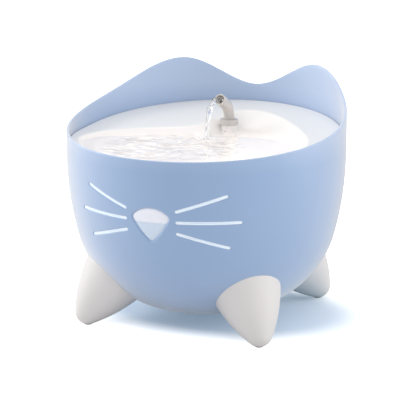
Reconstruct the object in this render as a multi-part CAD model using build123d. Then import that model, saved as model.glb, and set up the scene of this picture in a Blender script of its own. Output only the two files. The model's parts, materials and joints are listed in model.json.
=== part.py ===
from build123d import *
import os
from math import asin, cos, degrees, radians, sin, sqrt, tan

# Pet water fountain: a round bowl with a cat-ear rim on four horn feet, a lift-out drinking dish with a
# bent spout, and under the dish a filter basket and a small magnet-drive pump.
# Millimetres, +Z up, the face looks along -Y, the origin lies on the floor under the middle of the bowl.
# Angles round the bowl are counted from the nose, positive towards +X.

# ---------------------------------------------------------------- bowl
BOWL_R = 112.4            # outer radius of the upright upper wall
BOWL_WALL = 2.4           # moulded wall
BASE_Z = 13.0             # underside of the flat base
UPRIGHT_Z = 134.0         # the wall is upright from here
SIDE_ARC = 263.0          # radius of the wall's profile below that
SIDE_TURN = 14.0          # degrees that this arc turns inwards
BELLY_ARC = 82.0          # radius of the belly's profile, down to the base
RIM_FRONT = 147.6         # rim heights, from the nose round to the nape
RIM_CHEEK = 150.9
RIM_SIDE = 160.8
RIM_SHOULDER = 177.4
EAR_PEAK = 194.7
RIM_NAPE = 172.9
CHEEK_ANGLE = 50.0        # where round the bowl those heights lie
SIDE_ANGLE = 90.0
SHOULDER_ANGLE = 120.0
EAR_ANGLE = 150.0
RIM_ROUND = 0.9           # rounding of both rim edges
LEDGE_Z = 131.0           # top of the inner ledge that carries the dish
LEDGE_R = 107.2           # inner radius of the ledge
LEDGE_FLAT = 1.6          # height of the ledge's inner face
LEDGE_ROOT = 6.0          # height of the ledge at the wall

# ---------------------------------------------------------------- face
WHISKERS = (              # outer angle, outer height, inner angle, inner height
    (30.9, 122.3, 10.3, 109.1),
    (36.8, 101.3, 10.4, 101.0),
    (32.4, 80.7, 10.5, 92.4),
)
WHISKER_WIDTH = 2.8
WHISKER_RECESS = 0.4      # the clear bars stay this far behind the outer wall
WINDOW_THICK = 1.8        # plate behind the slots that carries the bars
WINDOW_MARGIN = 3.6       # plate beyond the slots, all round
WINDOW_INNER_ANGLE = 9.2  # inner upright edge of the plate, clear of the nose
NOSE_HALF_WIDTH = 15.5
NOSE_SHOULDER_Z = 103.9   # widest height
NOSE_TOP_Z = 111.0
NOSE_TIP_Z = 84.0
NOSE_SIDE_SHARE = 0.62    # half width of the convex side, half way down, as a share of the widest
NOSE_ROUND = 4.0          # shoulder corners
NOSE_TIP_ROUND = 3.0
NOSE_BEVEL = 1.1          # bevelled edge of the hole in the bowl
NOSE_FLANGE = 2.4         # flange of the lens beyond the hole
NOSE_FLANGE_THICK = 1.4
NOSE_SEAL_THICK = 1.0
POD_DEPTH = 11.0          # light pod behind the seal
POD_WALL = 1.5
BOARD_THICK = 1.6
BOARD_MARGIN = 0.4        # board to the pod's wall
BOARD_STANDOFF = 0.2
LED_SIDE = 5.0
LED_HEIGHT = 1.6

# ---------------------------------------------------------------- feet
FOOT_ANGLE = 46.0         # from the nose, and the same from the nape
FOOT_CENTRE_R = 101.8     # centre of the round tip
FOOT_CENTRE_Z = 10.5
FOOT_TIP = 10.5           # radius of the round tip
FOOT_LEAN = 40.0          # the foot's axis leans in by this from upright
FOOT_FLARE = 34.5         # the side leaves the tip at this angle to the axis
FOOT_BOW = 124.0          # radius of the bowed side
FOOT_END = 6.0            # its angle to the axis at the far end, inside the bowl
FOOT_WALL = 2.2
FOOT_FLAT_Z = 0.8         # flat under the tip
PAD_R = 3.2
PAD_HEIGHT = 2.4
SCREW_R_OUT = 84.0        # radius of the screws from the middle of the bowl
SCREW_BOSS_R = 4.2
SCREW_BOSS_Z = 20.4       # lower end of the bowl's boss
SCREW_BOSS_TOP_Z = 38.0   # inside the wall's height there
SCREW_SEAT_Z = 14.0       # under the head
SCREW_HEAD_R = 3.0
SCREW_HEAD = 2.4
SCREW_SHANK_R = 1.5
SCREW_LENGTH = 13.5

# ---------------------------------------------------------------- dish
DISH_GAP = 0.6            # dish to bowl wall
DISH_WALL = 2.0
DECK_Z = 145.4            # level front half of the rim
DECK_TILT = 6.85          # degrees by which the back half rises
DECK_BLEND = 260.0        # radius between both
BASIN_Y = -20.0           # centre of the basin
BASIN_R = 84.5            # its radius at the level part of the deck
BASIN_FLOOR_Z = 137.0
BASIN_SLOPE = 38.0        # of its wall, from level
BASIN_ROUND = 6.0         # between floor and wall
BASIN_CUT_Z = 165.0       # the cone of the basin is cut up to here, above the whole deck
WATER_Z = 143.0           # overflow level
DRAINS = 5
DRAIN_STEP = 10.0         # degrees about the middle of the basin
DRAIN_LENGTH = 10.0
DRAIN_WIDTH = 3.4

# ---------------------------------------------------------------- spout
SPOUT_Y = 48.9
TUBE_R = 4.6
TUBE_WALL = 1.4
TUBE_BOTTOM_Z = 122.0
TUBE_BEND_Z = 152.6       # the bend starts here
TUBE_BEND_R = 15.0
TUBE_BEND = 65.0          # degrees, towards the front
TUBE_MOUTH = 13.0         # straight end
TUBE_FLANGE = 1.0         # height of the flange held under the collar
FIT = 0.3                 # clearance of pieces that slide or turn in each other
BOSS_WALL = 1.4
BOSS_TOP_Z = 149.8
COLLAR_R = 7.75
COLLAR_OVERLAP = 2.2      # the collar reaches this far down the boss
COLLAR_TOP = 0.9
RISER_WALL = 1.6
SOCKET_WALL = 1.7
SOCKET_DEPTH = 8.0

# ---------------------------------------------------------------- filter
BASKET_HALF_X = 36.0
BASKET_BACK_Y = -56.0
BASKET_R = 105.6          # its front follows the bowl
BASKET_BOTTOM_Z = 120.0
BASKET_WALL = 1.8
BASKET_CORNER = 5.0
BASKET_SLOT = 3.0
BASKET_SLOTS = 9
BASKET_SLOT_STEP = 6.6
STUD_X = 30.5             # studs under the dish that carry the basket
STUD_Y = (-62.0, -84.0)
STUD_R = 2.0
STUD_LENGTH = 6.0
POST_WALL = 1.5
PAD_GAP = 0.3             # soft pads to the basket's wall
FOAM_HEIGHT = 4.8
CARBON_HEIGHT = 5.0
GRID_HEIGHT = 1.4

# ---------------------------------------------------------------- pump
PUMP_Y = 36.0             # axis of the rotor, along X
PUMP_Z = 43.0
PUMP_HALF = 17.0          # half width, and radius of the volute housing
PUMP_BOTTOM_Z = 24.0
PUMP_TOP_Z = 62.0
MOTOR_BACK_X = -40.0
VOLUTE_BACK_X = -7.0
VOLUTE_FRONT_X = 8.0
CHAMBER_R = 13.6
CHAMBER_BACK_X = -5.0
WELL_R = 7.8
WELL_BACK_X = -32.0
PUMP_ROUND = 3.5
OUTLET_SHOULDER_Z = 68.0
OUTLET_TOP_Z = 78.0
SHAFT_R = 1.0
SHAFT_SEAT = 3.0
MAGNET_GAP = 0.5
ROTOR_END_GAP = 1.0
BLADES = 6
BLADE_THICK = 1.2
IMPELLER_R = 12.2
IMPELLER_DISC = 1.2
IMPELLER_HUB_R = 3.2
IMPELLER_GAP = 0.5
COVER_THICK = 2.0
INLET_R = 5.0
COVER_HUB_R = 2.2
COVER_SPOKES = 3
STRAINER_GAP = 0.3
STRAINER_DEPTH = 16.0
STRAINER_WALL = 1.6
STRAINER_SLOT = 2.0
STRAINER_SLOTS = 5
STRAINER_STEP = 5.0
PUMP_FOAM = 9.0
DIAL_R = 6.0
DIAL_HEIGHT = 3.0
DIAL_STEM_R = 2.0
DIAL_GRIP = 2.0
DIAL_Z = 54.0
CUP_X = (-24.0, 8.0)
CUP_Y = (22.0, 38.0)
CUP_R = 6.5
CUP_NECK_R = 2.6
CUP_STEM = 2.0
CORE_X = (-28.0, -12.0)
CORE_HALF_Y = 15.0
CORE_LEG = 4.6
CORE_LEG_Z = 34.0
CORE_BAR_Z = (54.6, 58.4)
COIL_X = (-32.0, -8.6)
COIL_HALF_Y = 8.0
COIL_Z = (52.6, 60.4)
POTTING_GAP = 0.1
GLAND_R = 4.2
GLAND_BORE = 2.0
GLAND_OUT = 5.0
GLAND_Z = 50.0
GROMMET_Z = 108.0
GROMMET_R = 5.0
GROMMET_BORE = 2.2
GROMMET_FLANGE = 2.0
GROMMET_LIP = 0.6

PRESS = 0.05              # clearance of pieces fixed in each other
REACH = 14.0              # how far cutters pass through a wall, each way

INNER_R = BOWL_R - BOWL_WALL
FLOOR_Z = BASE_Z + BOWL_WALL
TOP_Z = EAR_PEAK + REACH
DISH_R = INNER_R - DISH_GAP
BORE_R = TUBE_R + FIT
BOSS_R = BORE_R + BOSS_WALL
RISER_R = BORE_R + RISER_WALL
SOCKET_R = RISER_R + FIT
DISH_UNDER_Z = BASIN_FLOOR_Z - DISH_WALL
MOTOR_X = (MOTOR_BACK_X + VOLUTE_BACK_X) / 2


# ================================================================ helpers
def polar(radius, angle, z=0.0):
    """Point at an angle from the nose."""
    return Vector(radius * sin(radians(angle)), -radius * cos(radians(angle)), z)


def upright(x, y, radius, low, high):
    """Upright cylinder between two heights."""
    return Pos(x, y, low) * Cylinder(radius, high - low, align=(Align.CENTER, Align.CENTER, Align.MIN))


def along_x(radius, back, front):
    """Cylinder about the pump's rotor axis."""
    place = Pos(back, PUMP_Y, PUMP_Z) * Rot(0, 90, 0)
    return place * Cylinder(radius, front - back, align=(Align.CENTER, Align.CENTER, Align.MIN))


def block(x, y, z):
    """Box between two corners, given as three pairs."""
    size = (x[1] - x[0], y[1] - y[0], z[1] - z[0])
    return Pos(x[0], y[0], z[0]) * Box(*size, align=(Align.MIN, Align.MIN, Align.MIN))


def save(node, shape):
    """One STEP file for one node."""
    export_step(shape, f"parts/{node}.step")


# ================================================================ bowl
def arc_centres():
    """Middles of the side arc and the belly arc, as radius and height."""
    turn = radians(SIDE_TURN)
    side = (BOWL_R - SIDE_ARC, UPRIGHT_Z)
    step = SIDE_ARC - BELLY_ARC
    return side, (side[0] + step * cos(turn), side[1] - step * sin(turn))


def wall_radius(z, inset=0.0):
    """Radius at a height of the outer wall moved in by the inset, square to itself."""
    side, belly = arc_centres()
    join_z = side[1] - (SIDE_ARC - inset) * sin(radians(SIDE_TURN))
    if z >= UPRIGHT_Z:
        return BOWL_R - inset
    if z >= join_z:
        return side[0] + sqrt((SIDE_ARC - inset) ** 2 - (z - side[1]) ** 2)
    return belly[0] + sqrt((BELLY_ARC - inset) ** 2 - (z - belly[1]) ** 2)


def wall_body(inset):
    """Solid filling of the bowl up to a surface that lies the inset inside its outer wall."""
    side, belly = arc_centres()
    turn = radians(SIDE_TURN)
    base_z = BASE_Z + inset
    base_r = wall_radius(base_z, inset)
    start = asin((base_r - belly[0]) / (BELLY_ARC - inset))
    join = (belly[0] + (BELLY_ARC - inset) * cos(turn), belly[1] - (BELLY_ARC - inset) * sin(turn))
    half_belly = (start + radians(90) - turn) / 2
    on_belly = (belly[0] + (BELLY_ARC - inset) * sin(half_belly),
                belly[1] - (BELLY_ARC - inset) * cos(half_belly))
    on_side = (side[0] + (SIDE_ARC - inset) * cos(turn / 2), side[1] - (SIDE_ARC - inset) * sin(turn / 2))
    top = (BOWL_R - inset, UPRIGHT_Z)
    lower = ThreePointArc((base_r, base_z), on_belly, join)
    upper = ThreePointArc(join, on_side, top)
    rest = Polyline(top, (top[0], TOP_Z), (0, TOP_Z), (0, base_z), (base_r, base_z))
    return revolve(Plane.XZ * make_face([*lower.edges(), *upper.edges(), *rest.edges()]), Axis.Z)


def wall_layer(outer, inner):
    """Shell between two insets."""
    return wall_body(outer) - wall_body(inner)


def rim_edge(radius):
    """Closed wave of the rim: low over the nose, two ears, a dip at the nape."""
    side = [(CHEEK_ANGLE, RIM_CHEEK), (SIDE_ANGLE, RIM_SIDE), (SHOULDER_ANGLE, RIM_SHOULDER),
            (EAR_ANGLE, EAR_PEAK)]
    wave = [(0, RIM_FRONT), *side, (180, RIM_NAPE)]
    wave += [(360 - angle, height) for angle, height in reversed(side)]
    return Edge.make_spline([polar(radius, angle, height) for angle, height in wave], periodic=True)


def above_rim():
    """Everything above the rim, for cutting."""
    inside = rim_edge(INNER_R - REACH)
    outside = rim_edge(BOWL_R + REACH)
    return extrude(Face.make_surface_from_curves(inside, outside), amount=EAR_PEAK, dir=(0, 0, 1))


def dish_ledge():
    """Ring on the inner wall that the dish stands on."""
    root = INNER_R + BOWL_WALL / 2
    section = Polyline((root, 0, LEDGE_Z), (LEDGE_R, 0, LEDGE_Z), (LEDGE_R, 0, LEDGE_Z - LEDGE_FLAT),
                       (root, 0, LEDGE_Z - LEDGE_ROOT), close=True)
    return revolve(make_face(section), Axis.Z)


def foot_angles():
    """Where the four feet stand, with their names."""
    return {"front_right": FOOT_ANGLE, "rear_right": 180 - FOOT_ANGLE,
            "rear_left": 180 + FOOT_ANGLE, "front_left": -FOOT_ANGLE}


def screw_bosses():
    """Blind bosses under the belly that take the foot screws."""
    bosses = Part()
    for angle in foot_angles().values():
        spot = polar(SCREW_R_OUT, angle)
        bosses += upright(spot.X, spot.Y, SCREW_BOSS_R, SCREW_BOSS_Z, SCREW_BOSS_TOP_Z)
    return bosses - wall_body(BOWL_WALL / 2)


def screw_pilots():
    """Blind holes in those bosses."""
    pilots = Part()
    tip = SCREW_SEAT_Z + SCREW_LENGTH
    for angle in foot_angles().values():
        spot = polar(SCREW_R_OUT, angle)
        pilots += upright(spot.X, spot.Y, SCREW_SHANK_R + PRESS, SCREW_BOSS_Z - 1, tip + 0.5)
    return pilots


def reservoir_bowl():
    """The bowl with its slots, nose hole, cable hole, ledge, bosses and wave rim."""
    bowl = wall_body(0) - wall_body(BOWL_WALL)
    for side in (-1, 1):
        for whisker in WHISKERS:
            bowl -= whisker_prism(side, whisker, 0)
    bowl -= nose_prism(0)
    bowl -= nose_bevel()
    bowl -= grommet_hole(0)
    bowl += dish_ledge()
    bowl += screw_bosses()
    bowl -= screw_pilots()
    return bowl - above_rim()


# ================================================================ face
def whisker_prism(side, whisker, clearance):
    """Bar with round ends through the wall, square to it half way along."""
    outer_angle, outer_z, inner_angle, inner_z = whisker
    inner = polar(wall_radius(inner_z), side * inner_angle, inner_z)
    outer = polar(wall_radius(outer_z), side * outer_angle, outer_z)
    chord = outer - inner
    out = chord.cross(Vector(0, 0, 1)) * side
    place = Plane(origin=(inner + outer) * 0.5, x_dir=chord, z_dir=out)
    shape = SlotOverall(chord.length - 2 * clearance, WHISKER_WIDTH - 2 * clearance)
    return extrude(place * shape, amount=REACH, both=True)


def whisker_window(side):
    """Clear insert: a curved plate inside the wall with three bars that fill the slots."""
    low = min(whisker[1] for whisker in WHISKERS) - WINDOW_MARGIN
    high = max(whisker[1] for whisker in WHISKERS) + WINDOW_MARGIN
    reach = max(whisker[0] for whisker in WHISKERS) + degrees(WINDOW_MARGIN / INNER_R)
    corner = 2 * BOWL_R
    wedge = Polyline((0, 0, low), polar(corner, side * WINDOW_INNER_ANGLE, low), polar(corner, side * reach, low),
                     close=True)
    sector = extrude(make_face(wedge), amount=high - low, dir=(0, 0, 1))
    window = wall_layer(BOWL_WALL + PRESS, BOWL_WALL + PRESS + WINDOW_THICK) & sector
    skin = wall_layer(WHISKER_RECESS, BOWL_WALL + PRESS + WINDOW_THICK / 2)
    for whisker in WHISKERS:
        window += whisker_prism(side, whisker, PRESS * 2) & skin
    return window


def nose_outline(grow):
    """Rounded triangle of the nose, seen from the front, as a face in the XZ plane."""
    shoulder = (NOSE_HALF_WIDTH, NOSE_SHOULDER_Z)
    tip = (0, NOSE_TIP_Z)
    half_way = ((NOSE_HALF_WIDTH * NOSE_SIDE_SHARE), (NOSE_SHOULDER_Z + NOSE_TIP_Z) / 2)
    top = ThreePointArc((-shoulder[0], shoulder[1]), (0, NOSE_TOP_Z), shoulder)
    right = ThreePointArc(shoulder, half_way, tip)
    left = ThreePointArc(tip, (-half_way[0], half_way[1]), (-shoulder[0], shoulder[1]))
    shape = make_face([top, right, left])
    corners = shape.vertices().sort_by(Axis.Y)
    shape = fillet(corners[1:], NOSE_ROUND)
    shape = fillet(shape.vertices().sort_by(Axis.Y)[0], NOSE_TIP_ROUND)
    if grow:
        shape = offset(shape, amount=grow)
    return Plane.XZ * shape


def nose_prism(grow, front=BOWL_R + REACH, back=INNER_R - 2 * REACH):
    """The nose outline drawn back through the front wall."""
    outline = Pos(0, -back, 0) * nose_outline(grow)
    return extrude(outline, amount=front - back, dir=(0, -1, 0))


def nose_bevel():
    """Sloping edge round the nose hole."""
    return nose_prism(NOSE_BEVEL) & wall_layer(-REACH, NOSE_BEVEL)


def nose_lens():
    """Clear lens with a flange behind the wall."""
    behind = BOWL_WALL + PRESS + NOSE_FLANGE_THICK
    lens = nose_prism(-2 * PRESS) & wall_layer(WHISKER_RECESS, behind)
    return lens + (nose_prism(NOSE_FLANGE) & wall_layer(BOWL_WALL + PRESS, behind))


def seal_inset():
    """Depth of the face between lens and seal."""
    return BOWL_WALL + 2 * PRESS + NOSE_FLANGE_THICK


def nose_seal():
    """Rubber ring between lens and pod."""
    ring = nose_prism(NOSE_FLANGE) - nose_prism(NOSE_FLANGE - POD_WALL - PRESS)
    return ring & wall_layer(seal_inset(), seal_inset() + NOSE_SEAL_THICK)


def pod_front():
    """Depth of the pod's front face."""
    return seal_inset() + NOSE_SEAL_THICK + PRESS


def pod_back_y():
    """Flat back of the pod, as a distance in front of the middle."""
    return wall_radius(NOSE_TIP_Z) - pod_front() - POD_DEPTH


def light_pod():
    """Cup that keeps the light dry, open towards the lens."""
    front = wall_body(pod_front())
    outside = nose_prism(NOSE_FLANGE, back=pod_back_y()) & front
    inside = nose_prism(NOSE_FLANGE - POD_WALL, back=pod_back_y() + POD_WALL)
    return outside - inside


def light_board():
    """Circuit board on the pod's back wall."""
    back = pod_back_y() + POD_WALL + BOARD_STANDOFF
    grow = NOSE_FLANGE - POD_WALL - BOARD_MARGIN
    return nose_prism(grow, front=back + BOARD_THICK, back=back)


def light_led():
    """Light-emitting diode on the board."""
    back = pod_back_y() + POD_WALL + BOARD_STANDOFF + BOARD_THICK
    height = (NOSE_SHOULDER_Z + NOSE_TIP_Z) / 2 + LED_SIDE / 2
    side = LED_SIDE / 2
    return block((-side, side), (-back - LED_HEIGHT, -back), (height - side, height + side))


# ================================================================ feet
def foot_horn(inset):
    """Bowed cone with a round tip, moved in by the inset; its axis stands along +Z from the tip's centre."""
    tip = FOOT_TIP - inset
    bow = FOOT_BOW - inset
    middle_x = (FOOT_TIP - FOOT_BOW) * cos(radians(FOOT_FLARE))
    middle_z = (FOOT_BOW - FOOT_TIP) * sin(radians(FOOT_FLARE))

    def on_side(angle):
        return middle_x + bow * cos(radians(angle)), middle_z - bow * sin(radians(angle))

    half_tip = radians((FOOT_FLARE + 90) / 2)
    touch = on_side(FOOT_FLARE)
    end = on_side(FOOT_END)
    arc = ThreePointArc((0, -tip), (tip * cos(half_tip), -tip * sin(half_tip)), touch)
    side = ThreePointArc(touch, on_side((FOOT_FLARE + FOOT_END) / 2), end)
    rest = Polyline(end, (0, end[1]), (0, -tip))
    return revolve(Plane.XZ * make_face([arc, side, *rest.edges()]), Axis.Z)


def at_foot(angle, shape):
    """Stands a horn made along +Z in the place of one foot."""
    lean = radians(FOOT_LEAN)
    out = polar(1, angle)
    axis = out * -sin(lean) + Vector(0, 0, cos(lean))
    side = out.cross(Vector(0, 0, 1))
    place = Plane(origin=polar(FOOT_CENTRE_R, angle, FOOT_CENTRE_Z), x_dir=side, z_dir=axis)
    return place.location * shape


def foot(angle):
    """Hollow foot with a screw post, a pocket for its pad and the bowl's curve on top."""
    spot = polar(SCREW_R_OUT, angle)
    tip = polar(FOOT_CENTRE_R, angle)
    outside = at_foot(angle, foot_horn(0))
    post = upright(spot.X, spot.Y, SCREW_BOSS_R, 0, SCREW_BOSS_Z - PRESS) & outside
    sole = upright(tip.X, tip.Y, PAD_R + FOOT_WALL, 0, PAD_HEIGHT + FOOT_WALL) & outside
    shape = outside - at_foot(angle, foot_horn(FOOT_WALL)) + post + sole
    shape -= wall_body(-PRESS)
    shape -= upright(spot.X, spot.Y, SCREW_BOSS_R + PRESS, SCREW_BOSS_Z - PRESS, SCREW_BOSS_TOP_Z)
    shape -= upright(spot.X, spot.Y, SCREW_HEAD_R + FIT, -1, SCREW_SEAT_Z)
    shape -= upright(spot.X, spot.Y, SCREW_SHANK_R + FIT, 0, SCREW_BOSS_Z)
    shape -= upright(0, 0, BOWL_R * 2, -REACH, FOOT_FLAT_Z)
    return shape - upright(tip.X, tip.Y, PAD_R + PRESS, 0, PAD_HEIGHT)


def foot_pad(angle):
    """Rubber disc under one foot."""
    tip = polar(FOOT_CENTRE_R, angle)
    return upright(tip.X, tip.Y, PAD_R, 0, PAD_HEIGHT)


def foot_screws():
    """One screw up into each boss."""
    screws = []
    for angle in foot_angles().values():
        spot = polar(SCREW_R_OUT, angle)
        head = upright(spot.X, spot.Y, SCREW_HEAD_R, SCREW_SEAT_Z - SCREW_HEAD, SCREW_SEAT_Z)
        screws.append(head + upright(spot.X, spot.Y, SCREW_SHANK_R, SCREW_SEAT_Z, SCREW_SEAT_Z + SCREW_LENGTH))
    return Compound(children=screws)


# ================================================================ cable hole
def grommet_hole(grow):
    """Round hole through the back wall, above the water."""
    place = Pos(0, INNER_R + REACH, GROMMET_Z) * Rot(90, 0, 0)
    return place * Cylinder(GROMMET_R + grow, 2 * REACH, align=(Align.CENTER, Align.CENTER, Align.MIN))


def cable_grommet():
    """Rubber grommet with a lip on both sides of the wall and a bore for the cable."""
    sleeve = grommet_hole(-PRESS) & wall_layer(-GROMMET_LIP, BOWL_WALL + GROMMET_LIP)
    lips = grommet_hole(GROMMET_FLANGE) & (wall_layer(-GROMMET_LIP, -PRESS)
                                           + wall_layer(BOWL_WALL + PRESS, BOWL_WALL + GROMMET_LIP))
    return sleeve + lips - grommet_hole(GROMMET_BORE - GROMMET_R)


# ================================================================ dish
def below_deck(drop, radius, low):
    """Puck of the dish: everything under the deck, lowered by the drop, inside a radius."""
    end = 2 * BOWL_R
    rise = end * tan(radians(DECK_TILT))
    top = FilletPolyline((-end, DECK_Z - drop), (0, DECK_Z - drop), (end, DECK_Z - drop + rise),
                         radius=DECK_BLEND)
    rest = Polyline((end, DECK_Z - drop + rise), (end, low), (-end, low), (-end, DECK_Z - drop))
    section = Plane.YZ * make_face([*top.edges(), *rest.edges()])
    return extrude(section, amount=end, both=True) & upright(0, 0, radius, low, TOP_Z)


def basin_shape(thick):
    """Basin grown by a thickness: flat floor, round corner and a conical wall."""
    slope = radians(BASIN_SLOPE)
    floor_z = BASIN_FLOOR_Z - thick
    floor_r = BASIN_R - (DECK_Z - BASIN_FLOOR_Z) / tan(slope) + thick * tan(slope / 2)
    brim_r = floor_r + (BASIN_CUT_Z - floor_z) / tan(slope)
    section = FilletPolyline((0, floor_z), (floor_r, floor_z), (brim_r, BASIN_CUT_Z), radius=BASIN_ROUND + thick)
    rest = Polyline((brim_r, BASIN_CUT_Z), (0, BASIN_CUT_Z), (0, floor_z))
    body = revolve(Plane.XZ * make_face([*section.edges(), *rest.edges()]), Axis.Z)
    return Pos(0, BASIN_Y, 0) * body


def dish_drains():
    """Overflow slots through the front of the basin's wall, with their inner edge at the water level."""
    shore = BASIN_R - (DECK_Z - WATER_Z) / tan(radians(BASIN_SLOPE))
    slots = Part()
    for index in range(DRAINS):
        angle = (index - (DRAINS - 1) / 2) * DRAIN_STEP
        place = Pos(0, BASIN_Y, LEDGE_Z) * Rot(0, 0, angle) * Pos(0, -shore - DRAIN_WIDTH / 2, 0)
        slots += extrude(place * SlotOverall(DRAIN_LENGTH, DRAIN_WIDTH), amount=2 * REACH)
    return slots


def drinking_dish():
    """Dish with its skirt, deck, basin, spout boss, riser socket, drains and basket studs."""
    hollow = below_deck(DISH_WALL, DISH_R - DISH_WALL, LEDGE_Z - 1) - basin_shape(DISH_WALL)
    dish = below_deck(0, DISH_R, LEDGE_Z) - hollow - basin_shape(0)
    dish += upright(0, SPOUT_Y, BOSS_R, DISH_UNDER_Z, BOSS_TOP_Z)
    dish += upright(0, SPOUT_Y, SOCKET_R + SOCKET_WALL, DISH_UNDER_Z - SOCKET_DEPTH, DISH_UNDER_Z + 1)
    dish -= upright(0, SPOUT_Y, SOCKET_R, DISH_UNDER_Z - SOCKET_DEPTH - 1, DISH_UNDER_Z)
    dish -= upright(0, SPOUT_Y, BORE_R, DISH_UNDER_Z - 1, BOSS_TOP_Z + 1)
    for x in (-STUD_X, STUD_X):
        for y in STUD_Y:
            dish += upright(x, y, STUD_R, DISH_UNDER_Z - STUD_LENGTH, DISH_UNDER_Z + 1)
    return dish - dish_drains()


# ================================================================ spout and riser
def tube_path():
    """Centre line of the spout, in the YZ plane."""
    bend = radians(TUBE_BEND)
    start = Vector(0, SPOUT_Y, TUBE_BEND_Z)
    half = Vector(0, -TUBE_BEND_R * (1 - cos(bend / 2)), TUBE_BEND_R * sin(bend / 2))
    full = Vector(0, -TUBE_BEND_R * (1 - cos(bend)), TUBE_BEND_R * sin(bend))
    mouth = start + full + Vector(0, -TUBE_MOUTH * sin(bend), TUBE_MOUTH * cos(bend))
    rise = Line((0, SPOUT_Y, TUBE_BOTTOM_Z), start)
    arc = ThreePointArc(start, start + half, start + full)
    return Wire([*rise.edges(), *arc.edges(), *Line(start + full, mouth).edges()])


def spout_tube():
    """Bent tube with a flange that the collar holds down."""
    path = tube_path()
    section = Plane(origin=(0, SPOUT_Y, TUBE_BOTTOM_Z), z_dir=(0, 0, 1))
    low = BOSS_TOP_Z + PRESS
    tube = sweep(section * Circle(TUBE_R), path=path)
    tube += upright(0, SPOUT_Y, BOSS_R - PRESS, low, low + TUBE_FLANGE)
    return tube - sweep(section * Circle(TUBE_R - TUBE_WALL), path=path)


def spout_collar():
    """Cap ring over the boss, with the spout's flange inside."""
    cavity = BOSS_TOP_Z + TUBE_FLANGE + FIT
    collar = upright(0, SPOUT_Y, COLLAR_R, BOSS_TOP_Z - COLLAR_OVERLAP, cavity + COLLAR_TOP)
    collar -= upright(0, SPOUT_Y, BOSS_R + FIT, 0, cavity)
    return collar - upright(0, SPOUT_Y, BORE_R, 0, TOP_Z)


def riser_tube():
    """Upright tube from the pump's outlet to the dish's socket."""
    riser = upright(0, SPOUT_Y, RISER_R, OUTLET_SHOULDER_Z, DISH_UNDER_Z - FIT)
    return riser - upright(0, SPOUT_Y, BORE_R, 0, TOP_Z)


# ================================================================ filter
def basket_prism(inset, low, high):
    """Plan of the filter basket: straight sides and a front that follows the bowl."""
    half = BASKET_HALF_X - inset
    back = BASKET_BACK_Y - inset
    sides = Polyline((-half, back), (half, back), (half, -BOWL_R), (-half, -BOWL_R), close=True)
    plan = make_face(sides) & Circle(BASKET_R - inset)
    plan = fillet(plan.vertices(), BASKET_CORNER - inset / 2)
    return extrude(Pos(0, 0, low) * plan, amount=high - low)


def stud_spots():
    """Places of the studs under the dish."""
    return [(x, y) for x in (-STUD_X, STUD_X) for y in STUD_Y]


def filter_basket():
    """Open basket with a slotted floor and four sockets for the dish's studs."""
    low = BASKET_BOTTOM_Z
    high = DISH_UNDER_Z
    basket = basket_prism(0, low, high) - basket_prism(BASKET_WALL, low + BASKET_WALL, high + 1)
    basket += stud_posts(0, low, high) & basket_prism(0, low, high)
    for x, y in stud_spots():
        basket -= upright(x, y, STUD_R + FIT, high - STUD_LENGTH - FIT, high + 1)
    for index in range(BASKET_SLOTS):
        x = (index - (BASKET_SLOTS - 1) / 2) * BASKET_SLOT_STEP
        place = Pos(x, (BASKET_BACK_Y - BASKET_R) / 2, low - 1) * Rot(0, 0, 90)
        basket -= extrude(place * SlotOverall(-BASKET_BACK_Y / 2, BASKET_SLOT), amount=BASKET_WALL + 2)
    return basket


def stud_posts(grow, low, high):
    """Round posts that hold the studs."""
    posts = Part()
    for x, y in stud_spots():
        posts += upright(x, y, STUD_R + FIT + POST_WALL + grow, low, high)
    return posts


def filter_layer(low, height):
    """Flat layer that fills the basket between the posts."""
    layer = basket_prism(BASKET_WALL + PAD_GAP, low, low + height)
    return layer - stud_posts(PAD_GAP, low - 1, low + height + 1)


def filter_grid():
    """Slotted plate on top of the pads."""
    low = BASKET_BOTTOM_Z + BASKET_WALL + FOAM_HEIGHT + CARBON_HEIGHT + 2 * PRESS
    grid = filter_layer(low, GRID_HEIGHT)
    for index in range(BASKET_SLOTS - 2):
        x = (index - (BASKET_SLOTS - 3) / 2) * BASKET_SLOT_STEP
        place = Pos(x, (BASKET_BACK_Y - BASKET_R) / 2, low - 1) * Rot(0, 0, 90)
        grid -= extrude(place * SlotOverall(-BASKET_BACK_Y / 2, BASKET_SLOT), amount=GRID_HEIGHT + 2)
    return grid


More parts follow.
